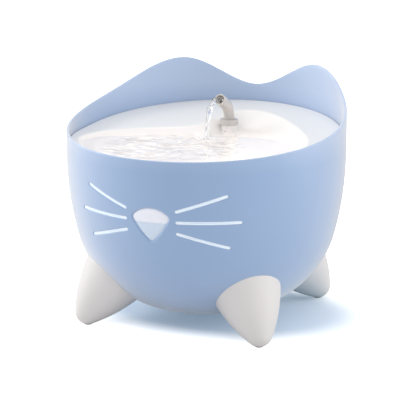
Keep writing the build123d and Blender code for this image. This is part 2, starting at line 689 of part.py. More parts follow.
# ================================================================ pump
def pump_housing():
    """Motor block, volute and upright outlet in one moulding."""
    motor = block((MOTOR_BACK_X, VOLUTE_BACK_X), (PUMP_Y - PUMP_HALF, PUMP_Y + PUMP_HALF),
                  (PUMP_BOTTOM_Z, PUMP_TOP_Z))
    motor = fillet(motor.edges().filter_by(Axis.X), PUMP_ROUND)
    volute = along_x(PUMP_HALF, VOLUTE_BACK_X, VOLUTE_FRONT_X)
    shelf = block((VOLUTE_BACK_X, VOLUTE_FRONT_X), (CUP_Y[0] - PUMP_ROUND, CUP_Y[1] + PUMP_ROUND),
                  (PUMP_BOTTOM_Z, PUMP_Z - CHAMBER_R))
    housing = motor + volute + shelf
    housing += upright(0, SPOUT_Y, RISER_R, PUMP_Z, OUTLET_SHOULDER_Z)
    housing += upright(0, SPOUT_Y, TUBE_R, OUTLET_SHOULDER_Z, OUTLET_TOP_Z)
    housing -= along_x(CHAMBER_R, CHAMBER_BACK_X, VOLUTE_FRONT_X + 1)
    housing -= along_x(WELL_R, WELL_BACK_X, CHAMBER_BACK_X + 1)
    housing -= along_x(SHAFT_R + PRESS, WELL_BACK_X - SHAFT_SEAT, WELL_BACK_X + 1)
    housing -= upright(0, SPOUT_Y, TUBE_R - TUBE_WALL, PUMP_Z, OUTLET_TOP_Z + 1)
    housing -= core_shape(POTTING_GAP) + coil_block(POTTING_GAP)
    housing -= gland_shape(PRESS, 0)
    for x in CUP_X:
        for y in CUP_Y:
            housing -= upright(x, y, CUP_NECK_R + PRESS, PUMP_BOTTOM_Z - 1, PUMP_BOTTOM_Z + CUP_STEM + PRESS)
    return housing


def core_shape(grow):
    """Laminated core: a bar over the rotor and a leg down each side."""
    x = (CORE_X[0] - grow, CORE_X[1] + grow)
    bar = block(x, (PUMP_Y - CORE_HALF_Y - grow, PUMP_Y + CORE_HALF_Y + grow),
                (CORE_BAR_Z[0] - grow, CORE_BAR_Z[1] + grow))
    legs = Part()
    for side in (-1, 1):
        far = PUMP_Y + side * (CORE_HALF_Y + grow)
        near = PUMP_Y + side * (CORE_HALF_Y - CORE_LEG - grow)
        legs += block(x, (min(far, near), max(far, near)), (CORE_LEG_Z - grow, CORE_BAR_Z[1] + grow))
    return bar + legs


def coil_block(grow):
    """Outside of the coil."""
    return block((COIL_X[0] - grow, COIL_X[1] + grow),
                 (PUMP_Y - COIL_HALF_Y - grow, PUMP_Y + COIL_HALF_Y + grow),
                 (COIL_Z[0] - grow, COIL_Z[1] + grow))


def pump_coil():
    """Winding round the core's bar."""
    return coil_block(0) - core_shape(POTTING_GAP)


def pump_shaft():
    """Ceramic pin from the well's end to the cover's hub."""
    return along_x(SHAFT_R, WELL_BACK_X - SHAFT_SEAT, VOLUTE_FRONT_X + COVER_THICK / 2)


def magnet_ends():
    """Where the magnet rotor starts and ends."""
    return WELL_BACK_X + ROTOR_END_GAP, CHAMBER_BACK_X - ROTOR_END_GAP


def rotor_magnet():
    """Ring magnet on the shaft."""
    back, front = magnet_ends()
    return along_x(WELL_R - MAGNET_GAP, back, front) - along_x(SHAFT_R + PRESS, back - 1, front + 1)


def impeller():
    """Disc with straight blades on a hub."""
    back = magnet_ends()[1]
    disc_back = CHAMBER_BACK_X + IMPELLER_GAP
    front = VOLUTE_FRONT_X - IMPELLER_GAP
    wheel = along_x(IMPELLER_HUB_R, back, front) + along_x(IMPELLER_R, disc_back, disc_back + IMPELLER_DISC)
    for index in range(BLADES):
        blade = block((disc_back, front), (-BLADE_THICK / 2, BLADE_THICK / 2), (0, IMPELLER_R - IMPELLER_DISC))
        wheel += Pos(0, PUMP_Y, PUMP_Z) * Rot(index * 360 / BLADES, 0, 0) * blade
    return wheel - along_x(SHAFT_R + PRESS, back - 1, front + 1)


def volute_cover():
    """Disc over the chamber, with the inlet and a hub on spokes for the shaft."""
    front = VOLUTE_FRONT_X + COVER_THICK
    cover = along_x(PUMP_HALF, VOLUTE_FRONT_X, front) - along_x(INLET_R, VOLUTE_FRONT_X - 1, front + 1)
    cover += along_x(COVER_HUB_R, VOLUTE_FRONT_X, front)
    for index in range(COVER_SPOKES):
        spoke = block((VOLUTE_FRONT_X, front), (-BLADE_THICK / 2, BLADE_THICK / 2), (0, INLET_R + 1))
        cover += Pos(0, PUMP_Y, PUMP_Z) * Rot(index * 360 / COVER_SPOKES + 60, 0, 0) * spoke
    return cover - along_x(SHAFT_R + PRESS, VOLUTE_FRONT_X - 1, VOLUTE_FRONT_X + COVER_THICK / 2)


def strainer_back():
    """Where the strainer starts."""
    return VOLUTE_FRONT_X + COVER_THICK + STRAINER_GAP


def pump_strainer():
    """Slotted cup over the pump's inlet, with a hole for the dial."""
    back = strainer_back()
    front = back + STRAINER_DEPTH
    y = (PUMP_Y - PUMP_HALF, PUMP_Y + PUMP_HALF)
    outside = block((back, front), y, (PUMP_BOTTOM_Z + CUP_STEM, PUMP_TOP_Z))
    outside = fillet(outside.edges().filter_by(Axis.X), PUMP_ROUND)
    inside = block((back - 1, front - STRAINER_WALL), (y[0] + STRAINER_WALL, y[1] - STRAINER_WALL),
                   (PUMP_BOTTOM_Z + CUP_STEM + STRAINER_WALL, PUMP_TOP_Z - STRAINER_WALL))
    cup = outside - inside
    for index in range(STRAINER_SLOTS):
        shift = (index - (STRAINER_SLOTS - 1) / 2) * STRAINER_STEP
        width = (PUMP_Y + shift - STRAINER_SLOT / 2, PUMP_Y + shift + STRAINER_SLOT / 2)
        cup -= block((front - STRAINER_WALL - 1, front + 1), width,
                     (PUMP_BOTTOM_Z + CUP_STEM + 2 * STRAINER_WALL, DIAL_Z - DIAL_R - STRAINER_WALL))
    stem = Pos(front - STRAINER_WALL - 1, PUMP_Y, DIAL_Z) * Rot(0, 90, 0)
    hole = Cylinder(DIAL_STEM_R + FIT, STRAINER_WALL + 2, align=(Align.CENTER, Align.CENTER, Align.MIN))
    return cup - stem * hole


def pump_foam():
    """Foam block inside the strainer."""
    front = strainer_back() + STRAINER_DEPTH - STRAINER_WALL - PAD_GAP
    gap = STRAINER_WALL + PAD_GAP
    return block((front - PUMP_FOAM, front), (PUMP_Y - PUMP_HALF + gap, PUMP_Y + PUMP_HALF - gap),
                 (PUMP_BOTTOM_Z + CUP_STEM + gap, PUMP_TOP_Z - gap))


def flow_dial():
    """Knob on the strainer with a stem through its wall and a grip bar."""
    face = strainer_back() + STRAINER_DEPTH + FIT
    place = Pos(face, PUMP_Y, DIAL_Z) * Rot(0, 90, 0)
    low = (Align.CENTER, Align.CENTER, Align.MIN)
    dial = place * Cylinder(DIAL_R, DIAL_HEIGHT / 2, align=low)
    dial += place * Pos(0, 0, -FIT - STRAINER_WALL) * Cylinder(DIAL_STEM_R, STRAINER_WALL + 2 * FIT, align=low)
    return dial + place * Box(2 * DIAL_R - DIAL_GRIP, DIAL_GRIP, DIAL_HEIGHT, align=low)


def suction_cups():
    """Four soft cups under the pump."""
    cups = []
    height = PUMP_BOTTOM_Z - FLOOR_Z - PRESS
    for x in CUP_X:
        for y in CUP_Y:
            low = FLOOR_Z + PRESS
            skirt = Pos(x, y, low) * Cone(CUP_R, CUP_NECK_R, height * 0.6, align=(Align.CENTER, Align.CENTER, Align.MIN))
            cups.append(skirt + upright(x, y, CUP_NECK_R, low + height * 0.5, PUMP_BOTTOM_Z + CUP_STEM))
    return Compound(children=cups)


def gland_shape(grow, bore):
    """Bush on the back of the motor block."""
    place = Pos(MOTOR_BACK_X - GLAND_OUT, PUMP_Y, GLAND_Z) * Rot(0, 90, 0)
    low = (Align.CENTER, Align.CENTER, Align.MIN)
    bush = place * Cylinder(GLAND_R + grow, 2 * GLAND_OUT + grow, align=low)
    if bore:
        bush -= place * Pos(0, 0, -1) * Cylinder(bore, 2 * GLAND_OUT + 2, align=low)
    return bush


# ================================================================ all nodes
def main():
    os.makedirs("parts", exist_ok=True)
    save("reservoir_bowl", reservoir_bowl())
    save("whisker_window_left", whisker_window(-1))
    save("whisker_window_right", whisker_window(1))
    save("nose_lens", nose_lens())
    save("nose_seal", nose_seal())
    save("light_pod", light_pod())
    save("light_board", light_board())
    save("light_led", light_led())
    for name, angle in foot_angles().items():
        save(f"foot_{name}", foot(angle))
        save(f"foot_pad_{name}", foot_pad(angle))
    save("foot_screws", foot_screws())
    save("cable_grommet", cable_grommet())
    save("drinking_dish", drinking_dish())
    save("spout_collar", spout_collar())
    save("spout_tube", spout_tube())
    save("riser_tube", riser_tube())
    save("filter_basket", filter_basket())
    foam_z = BASKET_BOTTOM_Z + BASKET_WALL + PRESS
    save("filter_foam", filter_layer(foam_z, FOAM_HEIGHT))
    save("filter_carbon", filter_layer(foam_z + FOAM_HEIGHT, CARBON_HEIGHT))
    save("filter_grid", filter_grid())
    save("pump_housing", pump_housing())
    save("pump_core", core_shape(0))
    save("pump_coil", pump_coil())
    save("pump_shaft", pump_shaft())
    save("rotor_magnet", rotor_magnet())
    save("impeller", impeller())
    save("volute_cover", volute_cover())
    save("pump_strainer", pump_strainer())
    save("pump_foam", pump_foam())
    save("flow_dial", flow_dial())
    save("suction_cups", suction_cups())
    save("pump_gland", gland_shape(0, GLAND_BORE))


main()
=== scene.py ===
# %% [markdown]
# # Pet water fountain
# The solids of the fountain are loaded first and stay where they are. Every visible plastic skin is then
# drawn again as a fine surface worked out with numpy, from the same measures as the solids. Two things have no
# such solid: the curved brim of the basin, which is round in the solid dish, and the water.
# Lengths are written in millimetres and turned to metres when a mesh is made.

# %% Load the solids
import json
import bpy
import numpy as np
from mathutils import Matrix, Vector


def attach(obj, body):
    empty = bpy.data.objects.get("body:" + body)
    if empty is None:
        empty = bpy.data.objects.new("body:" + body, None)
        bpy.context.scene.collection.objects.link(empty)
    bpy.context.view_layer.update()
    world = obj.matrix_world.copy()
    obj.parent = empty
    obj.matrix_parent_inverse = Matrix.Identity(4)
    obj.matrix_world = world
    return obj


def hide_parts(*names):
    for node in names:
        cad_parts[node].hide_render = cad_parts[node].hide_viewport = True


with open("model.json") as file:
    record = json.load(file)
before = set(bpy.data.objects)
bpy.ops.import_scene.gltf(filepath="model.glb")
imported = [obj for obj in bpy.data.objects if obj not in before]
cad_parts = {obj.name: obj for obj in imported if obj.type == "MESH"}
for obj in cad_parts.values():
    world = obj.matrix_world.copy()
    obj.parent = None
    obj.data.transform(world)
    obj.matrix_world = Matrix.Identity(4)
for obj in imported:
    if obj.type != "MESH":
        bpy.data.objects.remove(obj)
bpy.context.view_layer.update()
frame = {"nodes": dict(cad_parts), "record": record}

MM = 0.001

# %% [markdown]
# ## Mesh helpers
# A shape is a grid of points: each row is one closed ring. `skin` joins neighbouring rings with quads and
# closes both ends with a fan, so every piece is a sealed solid. Its volume tells which way it faces.

# %% Grids to meshes
def signed_volume(points, triangles):
    """Sum over the triangles of the box product of their corners, over six."""
    a, b, c = (points[triangles[:, k]] for k in range(3))
    return float(np.einsum("ij,ij->i", a, np.cross(b, c)).sum() / 6)


def ring_faces(rows, cols):
    """Quads between each row and the next, the last column joined to the first."""
    r, c = np.meshgrid(np.arange(rows - 1), np.arange(cols), indexing="ij")
    n = (c + 1) % cols
    return np.stack([r * cols + c, r * cols + n, (r + 1) * cols + n, (r + 1) * cols + c], -1).reshape(-1, 4)


def mesh_object(name, points, quads, triangles):
    """Mesh from points in millimetres, turned outwards if its volume comes out negative."""
    split = np.concatenate([triangles, quads[:, [0, 1, 2]], quads[:, [0, 2, 3]]])
    if signed_volume(points, split) < 0:
        quads, triangles = quads[:, ::-1], triangles[:, ::-1]
    mesh = bpy.data.meshes.new(name)
    mesh.from_pydata((points * MM).tolist(), [], quads.tolist() + triangles.tolist())
    mesh.validate()
    thing = bpy.data.objects.new(name, mesh)
    bpy.context.scene.collection.objects.link(thing)
    return thing


def skin(name, grid):
    """Sealed mesh from rings of points, grid[row, column, xyz], with a fan over the first and last ring."""
    rows, cols = grid.shape[:2]
    points = np.concatenate([grid.reshape(-1, 3), grid[[0, -1]].mean(1)])
    here = np.arange(cols)
    after = (here + 1) % cols
    first = np.stack([np.full(cols, rows * cols), after, here], -1)
    last = np.stack([np.full(cols, rows * cols + 1), (rows - 1) * cols + here, (rows - 1) * cols + after], -1)
    return mesh_object(name, points, ring_faces(rows, cols), np.concatenate([first, last]))


def tube_skin(name, grid):
    """Sealed ring-shaped mesh: the last row is joined to the first."""
    rows, cols = grid.shape[:2]
    quads = ring_faces(rows + 1, cols)
    return mesh_object(name, grid.reshape(-1, 3), quads % (rows * cols), np.zeros((0, 3), int))


print("quads between three rings of four points:", len(ring_faces(3, 4)))

# %% [markdown]
# A turned shape is such a grid too. Cuts are exact solid operations. An edge sharper than an angle stays an
# edge, and the rest is shaded smooth.

# %% Turned shapes, cuts and edges
def circle(count):
    """Angles of a full turn."""
    return np.linspace(0, 2 * np.pi, count, endpoint=False)


def around(radius, turn, height, centre=(0.0, 0.0)):
    """Points at angles from the nose: x = radius * sin(turn), y = -radius * cos(turn), about a centre."""
    x, y = centre[0] + radius * np.sin(turn), centre[1] - radius * np.cos(turn)
    return np.stack(np.broadcast_arrays(x, y, height), -1)


def polar(radius, angle, z=0.0):
    """Point at an angle from the nose in degrees."""
    return around(radius, np.radians(angle), z)


def lathe(profile, centre=(0.0, 0.0), cols=96):
    """Grid of a profile (radius, height) turned about an upright axis."""
    radius, height = np.asarray(profile, float).T
    return around(radius[:, None], circle(cols), height[:, None], centre)


def settle(thing, sharp=35.0):
    """Smooth shading, with edges sharper than the angle kept."""
    thing.data.shade_smooth()
    thing.data.set_sharp_from_angle(angle=np.radians(sharp))
    print(thing.name, "faces", len(thing.data.polygons))
    return thing


def carve(thing, cutters, operation="DIFFERENCE"):
    """Cuts away or adds other meshes, which are used up."""
    for cutter in cutters:
        step = thing.modifiers.new("cut", "BOOLEAN")
        step.operation, step.object, step.solver = operation, cutter, "EXACT"
    bpy.context.view_layer.update()
    done = bpy.data.meshes.new_from_object(thing.evaluated_get(bpy.context.evaluated_depsgraph_get()))
    thing.modifiers.clear()
    thing.data = done
    for cutter in cutters:
        bpy.data.objects.remove(cutter)
    return thing


def rounded(points, radius, steps=5):
    """Open profile with each inner corner softened: a quadratic curve leaves both sides where an arc of the
    radius would, at radius / tan(half the corner's angle), with the corner as its control point."""
    points = [np.asarray(p, float) for p in points]
    out = [points[0]]
    for before, corner, after in zip(points, points[1:], points[2:]):
        a, b = (before - corner), (after - corner)
        room = min(np.linalg.norm(a), np.linalg.norm(b)) / 2
        a, b = a / np.linalg.norm(a), b / np.linalg.norm(b)
        half = np.arccos(np.clip(a @ b, -1, 1)) / 2
        back = min(radius / max(np.tan(half), 1e-6), room)
        t = np.linspace(0, 1, steps)[:, None]
        start, end = corner + a * back, corner + b * back
        out += list((1 - t) ** 2 * start + 2 * t * (1 - t) * corner + t ** 2 * end)
    return np.array(out + [points[-1]])


print("points of one softened corner:", len(rounded([(0, 0), (0, 9), (9, 9)], 2.0)) - 2)

# %% [markdown]
# ## The bowl's wall
# The wall is upright at the top, then two arcs bring it in to the flat base. Every insert of the face follows
# this wall at its own depth, so one function gives the radius at any height and depth.

# %% Wall
BOWL_R, BOWL_WALL, BASE_Z, UPRIGHT_Z = 112.4, 2.4, 13.0, 134.0
SIDE_ARC, SIDE_TURN, BELLY_ARC = 263.0, np.radians(14.0), 82.0
INNER_R = BOWL_R - BOWL_WALL
SIDE_MIDDLE = np.array([BOWL_R - SIDE_ARC, UPRIGHT_Z])
BELLY_MIDDLE = SIDE_MIDDLE + (SIDE_ARC - BELLY_ARC) * np.array([np.cos(SIDE_TURN), -np.sin(SIDE_TURN)])


def wall_radius(z, inset=0.0):
    """Upright radius above the join, the side arc below it, and the belly arc at the bottom."""
    z = np.asarray(z, float)
    join = UPRIGHT_Z - (SIDE_ARC - inset) * np.sin(SIDE_TURN)
    side = SIDE_MIDDLE[0] + np.sqrt(np.maximum((SIDE_ARC - inset) ** 2 - (z - SIDE_MIDDLE[1]) ** 2, 0))
    belly = BELLY_MIDDLE[0] + np.sqrt(np.maximum((BELLY_ARC - inset) ** 2 - (z - BELLY_MIDDLE[1]) ** 2, 0))
    return np.where(z >= UPRIGHT_Z, BOWL_R - inset, np.where(z >= join, side, belly))


print("wall radius at the base", round(float(wall_radius(BASE_Z)), 2), "mm")

# %% [markdown]
# The rim is a closed spline through pairs of an angle from the nose and a height. It dips at the nose and at
# the nape and peaks in two ears, and the left half mirrors the right.

# %% Rim
RIM = ((0, 147.6), (50, 150.9), (90, 160.8), (120, 177.4), (150, 194.68), (180, 172.9))
RIM_POINTS = 60


def rim_heights(angles):
    """Height of the rim: a closed cubic spline through the given heights, even in slope and bend."""
    knots = np.array(list(RIM) + [(360 - a, z) for a, z in RIM[-2:0:-1]], float)
    ring = polar(BOWL_R, knots[:, 0], knots[:, 1])
    gap = np.linalg.norm(np.roll(ring, -1, 0) - ring, axis=1)
    count = len(ring)
    here = np.arange(count)
    system = np.zeros((count, count))
    system[here, here] = 2 * (gap + np.roll(gap, 1))
    system[here, (here + 1) % count] += gap
    system[here, here - 1] += np.roll(gap, 1)
    slope = (np.roll(ring, -1, 0) - ring) / gap[:, None]
    bend = np.linalg.solve(system, 6 * (slope - np.roll(slope, 1, 0)))
    part = np.linspace(0, 1, RIM_POINTS, endpoint=False)[None, :, None]
    g = gap[:, None, None]
    a, b = ring[:, None], np.roll(ring, -1, 0)[:, None]
    ma, mb = bend[:, None], np.roll(bend, -1, 0)[:, None]
    curve = a * (1 - part) + b * part - g ** 2 / 6 * (
        ma * (1 - part) * (1 - (1 - part) ** 2) + mb * part * (1 - part ** 2))
    curve = curve.reshape(-1, 3)
    angle = np.degrees(np.arctan2(curve[:, 0], -curve[:, 1])) % 360
    order = np.argsort(angle)
    return np.interp(np.asarray(angles) % 360, angle[order], curve[order, 2], period=360)


print("rim top", round(float(rim_heights(np.arange(360)).max()), 2), "mm")

# %% [markdown]
# ## The bowl
# One moulding: the profile runs from the middle of the base up the outer wall, over a rounded rim and down the
# inside. Only the part above the upright line follows the wave, so the belly stays a true turned shape.

# %% Bowl
RIM_ROUND = 0.9
LEDGE_R, LEDGE_Z, LEDGE_LIP_Z, LEDGE_FOOT_Z = 107.2, 131.0, 129.4, 125.0
MIDDLE_R, BASE_EASE, FLOOR_EASE = 4.0, 0.6, 1.0


def wall_rows(inset, count, top):
    """Heights from the base to a height, closer together at the belly."""
    base = BASE_Z + inset
    return base + (top - base) * np.linspace(0, 1, count) ** 1.5


def bowl_grid(cols=360):
    """Rings as pairs of radius and height: base, outer wall, rim, inner wall with its ledge, and floor."""
    angle = np.arange(cols) * 360 / cols
    top = rim_heights(angle) - RIM_ROUND
    share = np.linspace(0, 1, 16)
    pairs = [(r, BASE_Z) for r in np.linspace(MIDDLE_R, wall_radius(BASE_Z) - BASE_EASE, 8)]
    pairs += [(wall_radius(z), z) for z in wall_rows(0, 60, UPRIGHT_Z)[1:]]
    pairs += [(BOWL_R, UPRIGHT_Z + (top - UPRIGHT_Z) * s) for s in share[1:]]
    for t in np.linspace(0, np.pi, 13)[1:-1]:
        flat = BOWL_WALL - 2 * RIM_ROUND if t > np.pi / 2 else 0
        pairs.append((BOWL_R - RIM_ROUND + RIM_ROUND * np.cos(t) - flat, top + RIM_ROUND * np.sin(t)))
    pairs += [(INNER_R, LEDGE_Z + (top - LEDGE_Z) * s) for s in share[::-1]]
    pairs += [(LEDGE_R, LEDGE_Z), (LEDGE_R, LEDGE_LIP_Z)]
    pairs += [(wall_radius(z, BOWL_WALL), z) for z in wall_rows(BOWL_WALL, 50, LEDGE_FOOT_Z)[::-1]]
    floor_r = wall_radius(BASE_Z + BOWL_WALL, BOWL_WALL) - FLOOR_EASE
    pairs += [(r, BASE_Z + BOWL_WALL) for r in np.linspace(floor_r, MIDDLE_R, 8)]
    radius, height = (np.array([np.broadcast_to(pair[k], cols) for pair in pairs], float) for k in (0, 1))
    return polar(radius, angle, height)


bowl = skin("bowl_skin", bowl_grid())
print("bowl points", len(bowl.data.vertices))

# %% [markdown]
# ## The face
# Slots and nose are outlines drawn flat. A whisker is given by its outer and its inner end, each as a length
# round the wall from the nose and a height. The nose is three arcs.

# %% Outlines on the wall
WHISKERS = ((60.6, 122.3, 20.2, 109.1), (72.2, 101.3, 20.4, 101.0), (63.6, 80.7, 20.6, 92.4))
WHISKER_WIDTH = 2.8
NOSE_SHOULDER, NOSE_TOP, NOSE_TIP, NOSE_SIDE = (15.5, 103.9), (0.0, 111.0), (0.0, 84.0), (9.61, 93.95)
NOSE_SOFT = 2.5


def arc_through(a, b, c, count):
    """Points of the circle through three points, from a to c."""
    a, b, c = (complex(*p) for p in (a, b, c))
    w = (c - a) / (b - a)
    middle = (b - a) * (w - abs(w) ** 2) / (w - w.conjugate()) + a
    start, end = np.angle(a - middle), np.angle(c - middle)
    sweep = (end - start + np.pi) % (2 * np.pi) - np.pi
    turn = start + sweep * np.linspace(0, 1, count, endpoint=False)
    line = middle + abs(a - middle) * np.exp(1j * turn)
    return np.column_stack([line.real, line.imag])


def evenly(loop, count):
    """Closed loop with its points spread evenly along its length."""
    ends = np.vstack([loop, loop[:1]])
    along = np.concatenate([[0], np.cumsum(np.linalg.norm(np.diff(ends, axis=0), axis=1))])
    at = np.linspace(0, along[-1], count, endpoint=False)
    return np.column_stack([np.interp(at, along, ends[:, k]) for k in range(2)])


def grown(loop, amount):
    """Loop moved outwards by an amount, square to itself."""
    ahead = np.roll(loop, -1, 0) - np.roll(loop, 1, 0)
    normal = np.column_stack([ahead[:, 1], -ahead[:, 0]]) / np.linalg.norm(ahead, axis=1)[:, None]
    area = (loop[:, 0] * np.roll(loop[:, 1], -1) - loop[:, 1] * np.roll(loop[:, 0], -1)).sum()
    return loop + normal * amount * np.sign(area)


def nose_loop(amount=0.0, count=160):
    """Three arcs, with corners rounded by averaging the outline over a length to either side."""
    left = (-NOSE_SHOULDER[0], NOSE_SHOULDER[1])
    raw = np.vstack([arc_through(left, NOSE_TOP, NOSE_SHOULDER, 200),
                     arc_through(NOSE_SHOULDER, NOSE_SIDE, NOSE_TIP, 200),
                     arc_through(NOSE_TIP, (-NOSE_SIDE[0], NOSE_SIDE[1]), left, 200)])
    fine = evenly(raw, 1600)
    step = np.linalg.norm(fine[1] - fine[0])
    reach = int(NOSE_SOFT / step)
    fine = np.mean([np.roll(fine, k, 0) for k in range(-reach, reach + 1)], axis=0)
    return grown(evenly(fine, count), amount)


def bar_loop(length, amount=0.0, count=12):
    """Bar with round ends about the middle of its length."""
    half = length / 2 - WHISKER_WIDTH / 2
    turn = np.linspace(-np.pi / 2, np.pi / 2, count)
    side = np.linspace(0, 1, 40)[1:-1, None]
    radius = WHISKER_WIDTH / 2 + amount
    right = np.column_stack([half + radius * np.cos(turn), radius * np.sin(turn)])
    left = -right
    top = right[-1] + (left[0] - right[-1]) * side
    bottom = left[-1] + (right[0] - left[-1]) * side
    return np.vstack([right, top, left, bottom])


print("nose outline", np.ptp(nose_loop(), axis=0).round(2), "mm")

# %% [markdown]
# An outline is pushed square through the curved wall. Near the outside it shrinks along a quarter circle, which
# leaves the rounded lead-in of a moulded edge: growth = round * (1 - sin t) at depth = round * (1 - cos t).

# %% Outlines through the wall
EDGE_ROUND = 0.35
CUT_START, CUT_DEPTH = -3.0, BOWL_WALL + 2
LEAD_IN = [(EDGE_ROUND * (1 - np.cos(t)), EDGE_ROUND * (1 - np.sin(t))) for t in np.linspace(0, np.pi / 2, 5)]


def wall_piece(name, outline, rows, origin, along, out):
    """Sealed piece from pairs of an inset and a growth: each outline is laid flat, then slid along the outward
    direction to the wall at its own inset."""
    rings = []
    for inset, growth in rows:
        loop = outline(growth)
        flat = origin + loop[:, :1] * along + loop[:, 1:] * np.cross(out, along)
        ahead = flat @ out
        reach = wall_radius(flat[:, 2], inset) ** 2 - (flat[:, :2] ** 2).sum(1) + ahead ** 2
        rings.append(flat + (np.sqrt(reach) - ahead)[:, None] * out)
    return skin(name, np.array(rings))


def whisker_place(side, whisker):
    """Middle, direction and outward direction of one whisker, from its two ends on the wall."""
    outer_length, outer_z, inner_length, inner_z = whisker
    inner = polar(wall_radius(inner_z), side * np.degrees(inner_length / BOWL_R), inner_z)
    outer = polar(wall_radius(outer_z), side * np.degrees(outer_length / BOWL_R), outer_z)
    chord = outer - inner
    length = np.linalg.norm(chord)
    out = np.cross(chord, (0, 0, 1)) * side
    return (inner + outer) / 2, chord / length, out / np.linalg.norm(out), length


def whisker_piece(name, side, whisker, rows):
    """Piece of a whisker's outline."""
    *place, length = whisker_place(side, whisker)
    return wall_piece(name, lambda growth: bar_loop(length, growth), rows, *place)


print("whisker lengths", [round(float(whisker_place(1, w)[3]), 1) for w in WHISKERS], "mm")

# %% [markdown]
# Six slots, the hole of the nose and the round hole of the cable go through the bowl.

# %% Holes in the bowl
NOSE_PLACE = (np.zeros(3), np.array([1.0, 0, 0]), np.array([0, -1.0, 0]))
NOSE_BEVEL = 1.1
GROMMET_Z, GROMMET_R, GROMMET_REACH = 108.0, 5.0, 14.0


def cable_cutter():
    """Round hole through the back of the wall."""
    turn = circle(48)
    x, z = GROMMET_R * np.cos(turn), GROMMET_Z + GROMMET_R * np.sin(turn)
    return skin("cutter", np.array([np.column_stack([x, np.full_like(x, y), z])
                                    for y in (INNER_R - GROMMET_REACH, INNER_R + GROMMET_REACH)]))


slot_rows = [(CUT_START, EDGE_ROUND), *LEAD_IN, (CUT_DEPTH, 0.0)]
nose_rows = [(CUT_START, NOSE_BEVEL), (0.0, NOSE_BEVEL), (NOSE_BEVEL, 0.0), (CUT_DEPTH, 0.0)]
cutters = [whisker_piece("cutter", side, w, slot_rows) for side in (-1, 1) for w in WHISKERS]
carve(bowl, cutters + [wall_piece("cutter", nose_loop, nose_rows, *NOSE_PLACE), cable_cutter()])
settle(bowl)

# %% [markdown]
# ## Clear inserts
# Behind each row of slots a curved clear plate carries three bars that fill them. A bar's crown is written as
# pairs: depth under its recess, and growth of the outline there.

# %% Whisker windows
RECESS, PLATE_THICK, PRESS, WINDOW_START, WINDOW_MARGIN = 0.4, 1.8, 0.05, 18.05, 3.6
BAR_CROWN = ((0.0, -0.9), (0.03, -0.6), (0.15, -0.3), (0.4, -0.1))
MIDDLE_SHARE = 0.02
bar_rows = [(RECESS + depth, growth) for depth, growth in BAR_CROWN]
bar_rows.append((BOWL_WALL + PRESS + PLATE_THICK / 2, BAR_CROWN[-1][1]))


def plate_piece(side):
    """Curved plate: a box's outline bent round the bowl, drawn in to its middle on the front and the back."""
    low = min(w[1] for w in WHISKERS) - WINDOW_MARGIN
    high = max(w[1] for w in WHISKERS) + WINDOW_MARGIN
    start = np.degrees(WINDOW_START / BOWL_R)
    reach = np.degrees((max(w[0] for w in WHISKERS) + WINDOW_MARGIN) / BOWL_R)
    z = np.concatenate([np.full(30, low), np.linspace(low, high, 20), np.full(30, high),
                        np.linspace(high, low, 20)])
    a = np.concatenate([np.linspace(start, reach, 30), np.full(20, reach), np.linspace(reach, start, 30),
                        np.full(20, start)]) * side
    middle_z, middle_a = (low + high) / 2, side * (start + reach) / 2
    front = [(BOWL_WALL + PRESS, s) for s in np.linspace(MIDDLE_SHARE, 1, 12)]
    back = [(BOWL_WALL + PRESS + PLATE_THICK, s) for s in np.linspace(1, MIDDLE_SHARE, 12)]
    rows = []
    for inset, share in front + back:
        zz, aa = middle_z + (z - middle_z) * share, np.radians(middle_a + (a - middle_a) * share)
        rows.append(around(wall_radius(zz, inset), aa, zz))
    return skin("plate", np.array(rows))


def joined(name, things):
    """One object of several sealed meshes."""
    with bpy.context.temp_override(active_object=things[0], selected_editable_objects=things):
        bpy.ops.object.join()
    things[0].name = name
    return things[0]


windows = {}
for word, side in (("left", -1), ("right", 1)):
    bars = [whisker_piece("bar", side, w, bar_rows) for w in WHISKERS]
    windows[word] = settle(joined(f"window_{word}", [plate_piece(side)] + bars))

# %% [markdown]
# The nose lens has a bevelled border, a slightly crowned middle and a flange behind the wall. Its rows are
# pairs of a depth under the outer wall and a growth of the nose's outline.

# %% Nose lens
LENS_SEAT, LENS_FLANGE, LENS_FLANGE_WIDE = BOWL_WALL + PRESS, 1.4, 2.4
LENS_ROWS = [(0.25, -8.0), (0.25, -5.0), (0.3, -3.0), (0.38, -1.75), (0.45, -1.45), (0.75, -0.9), (1.15, -0.25),
             (1.3, -0.1), (LENS_SEAT, -0.1), (LENS_SEAT, LENS_FLANGE_WIDE),
             (LENS_SEAT + LENS_FLANGE, LENS_FLANGE_WIDE), (LENS_SEAT + LENS_FLANGE, 0.0)]
lens = wall_piece("lens", nose_loop, LENS_ROWS, *NOSE_PLACE)
settle(lens, 20)

# %% [markdown]
# ## Feet
# Each foot is a bowed horn with a ball tip that leans in under the belly.

# %% Horn of a foot
FOOT_CIRCLE_R, FOOT_CENTRE_Z, FOOT_TIP = 101.8, 10.5, 10.5
FOOT_LEAN, FOOT_FLARE, FOOT_BOW, FOOT_END, FOOT_FLAT_Z = 40.0, 34.5, 124.0, 6.0, 0.8


def horn_profile():
    """Arc of the round tip, then the bowed side, as distance from the axis and along it."""
    tip = np.radians(np.linspace(89.5, FOOT_FLARE, 22, endpoint=False))
    side = np.radians(np.linspace(FOOT_FLARE, FOOT_END, 48))
    flare = np.radians(FOOT_FLARE)
    middle = (FOOT_TIP - FOOT_BOW) * np.array([np.cos(flare), -np.sin(flare)])
    ball = np.column_stack([FOOT_TIP * np.cos(tip), -FOOT_TIP * np.sin(tip)])
    bow = middle + FOOT_BOW * np.column_stack([np.cos(side), -np.sin(side)])
    return np.vstack([ball, bow])


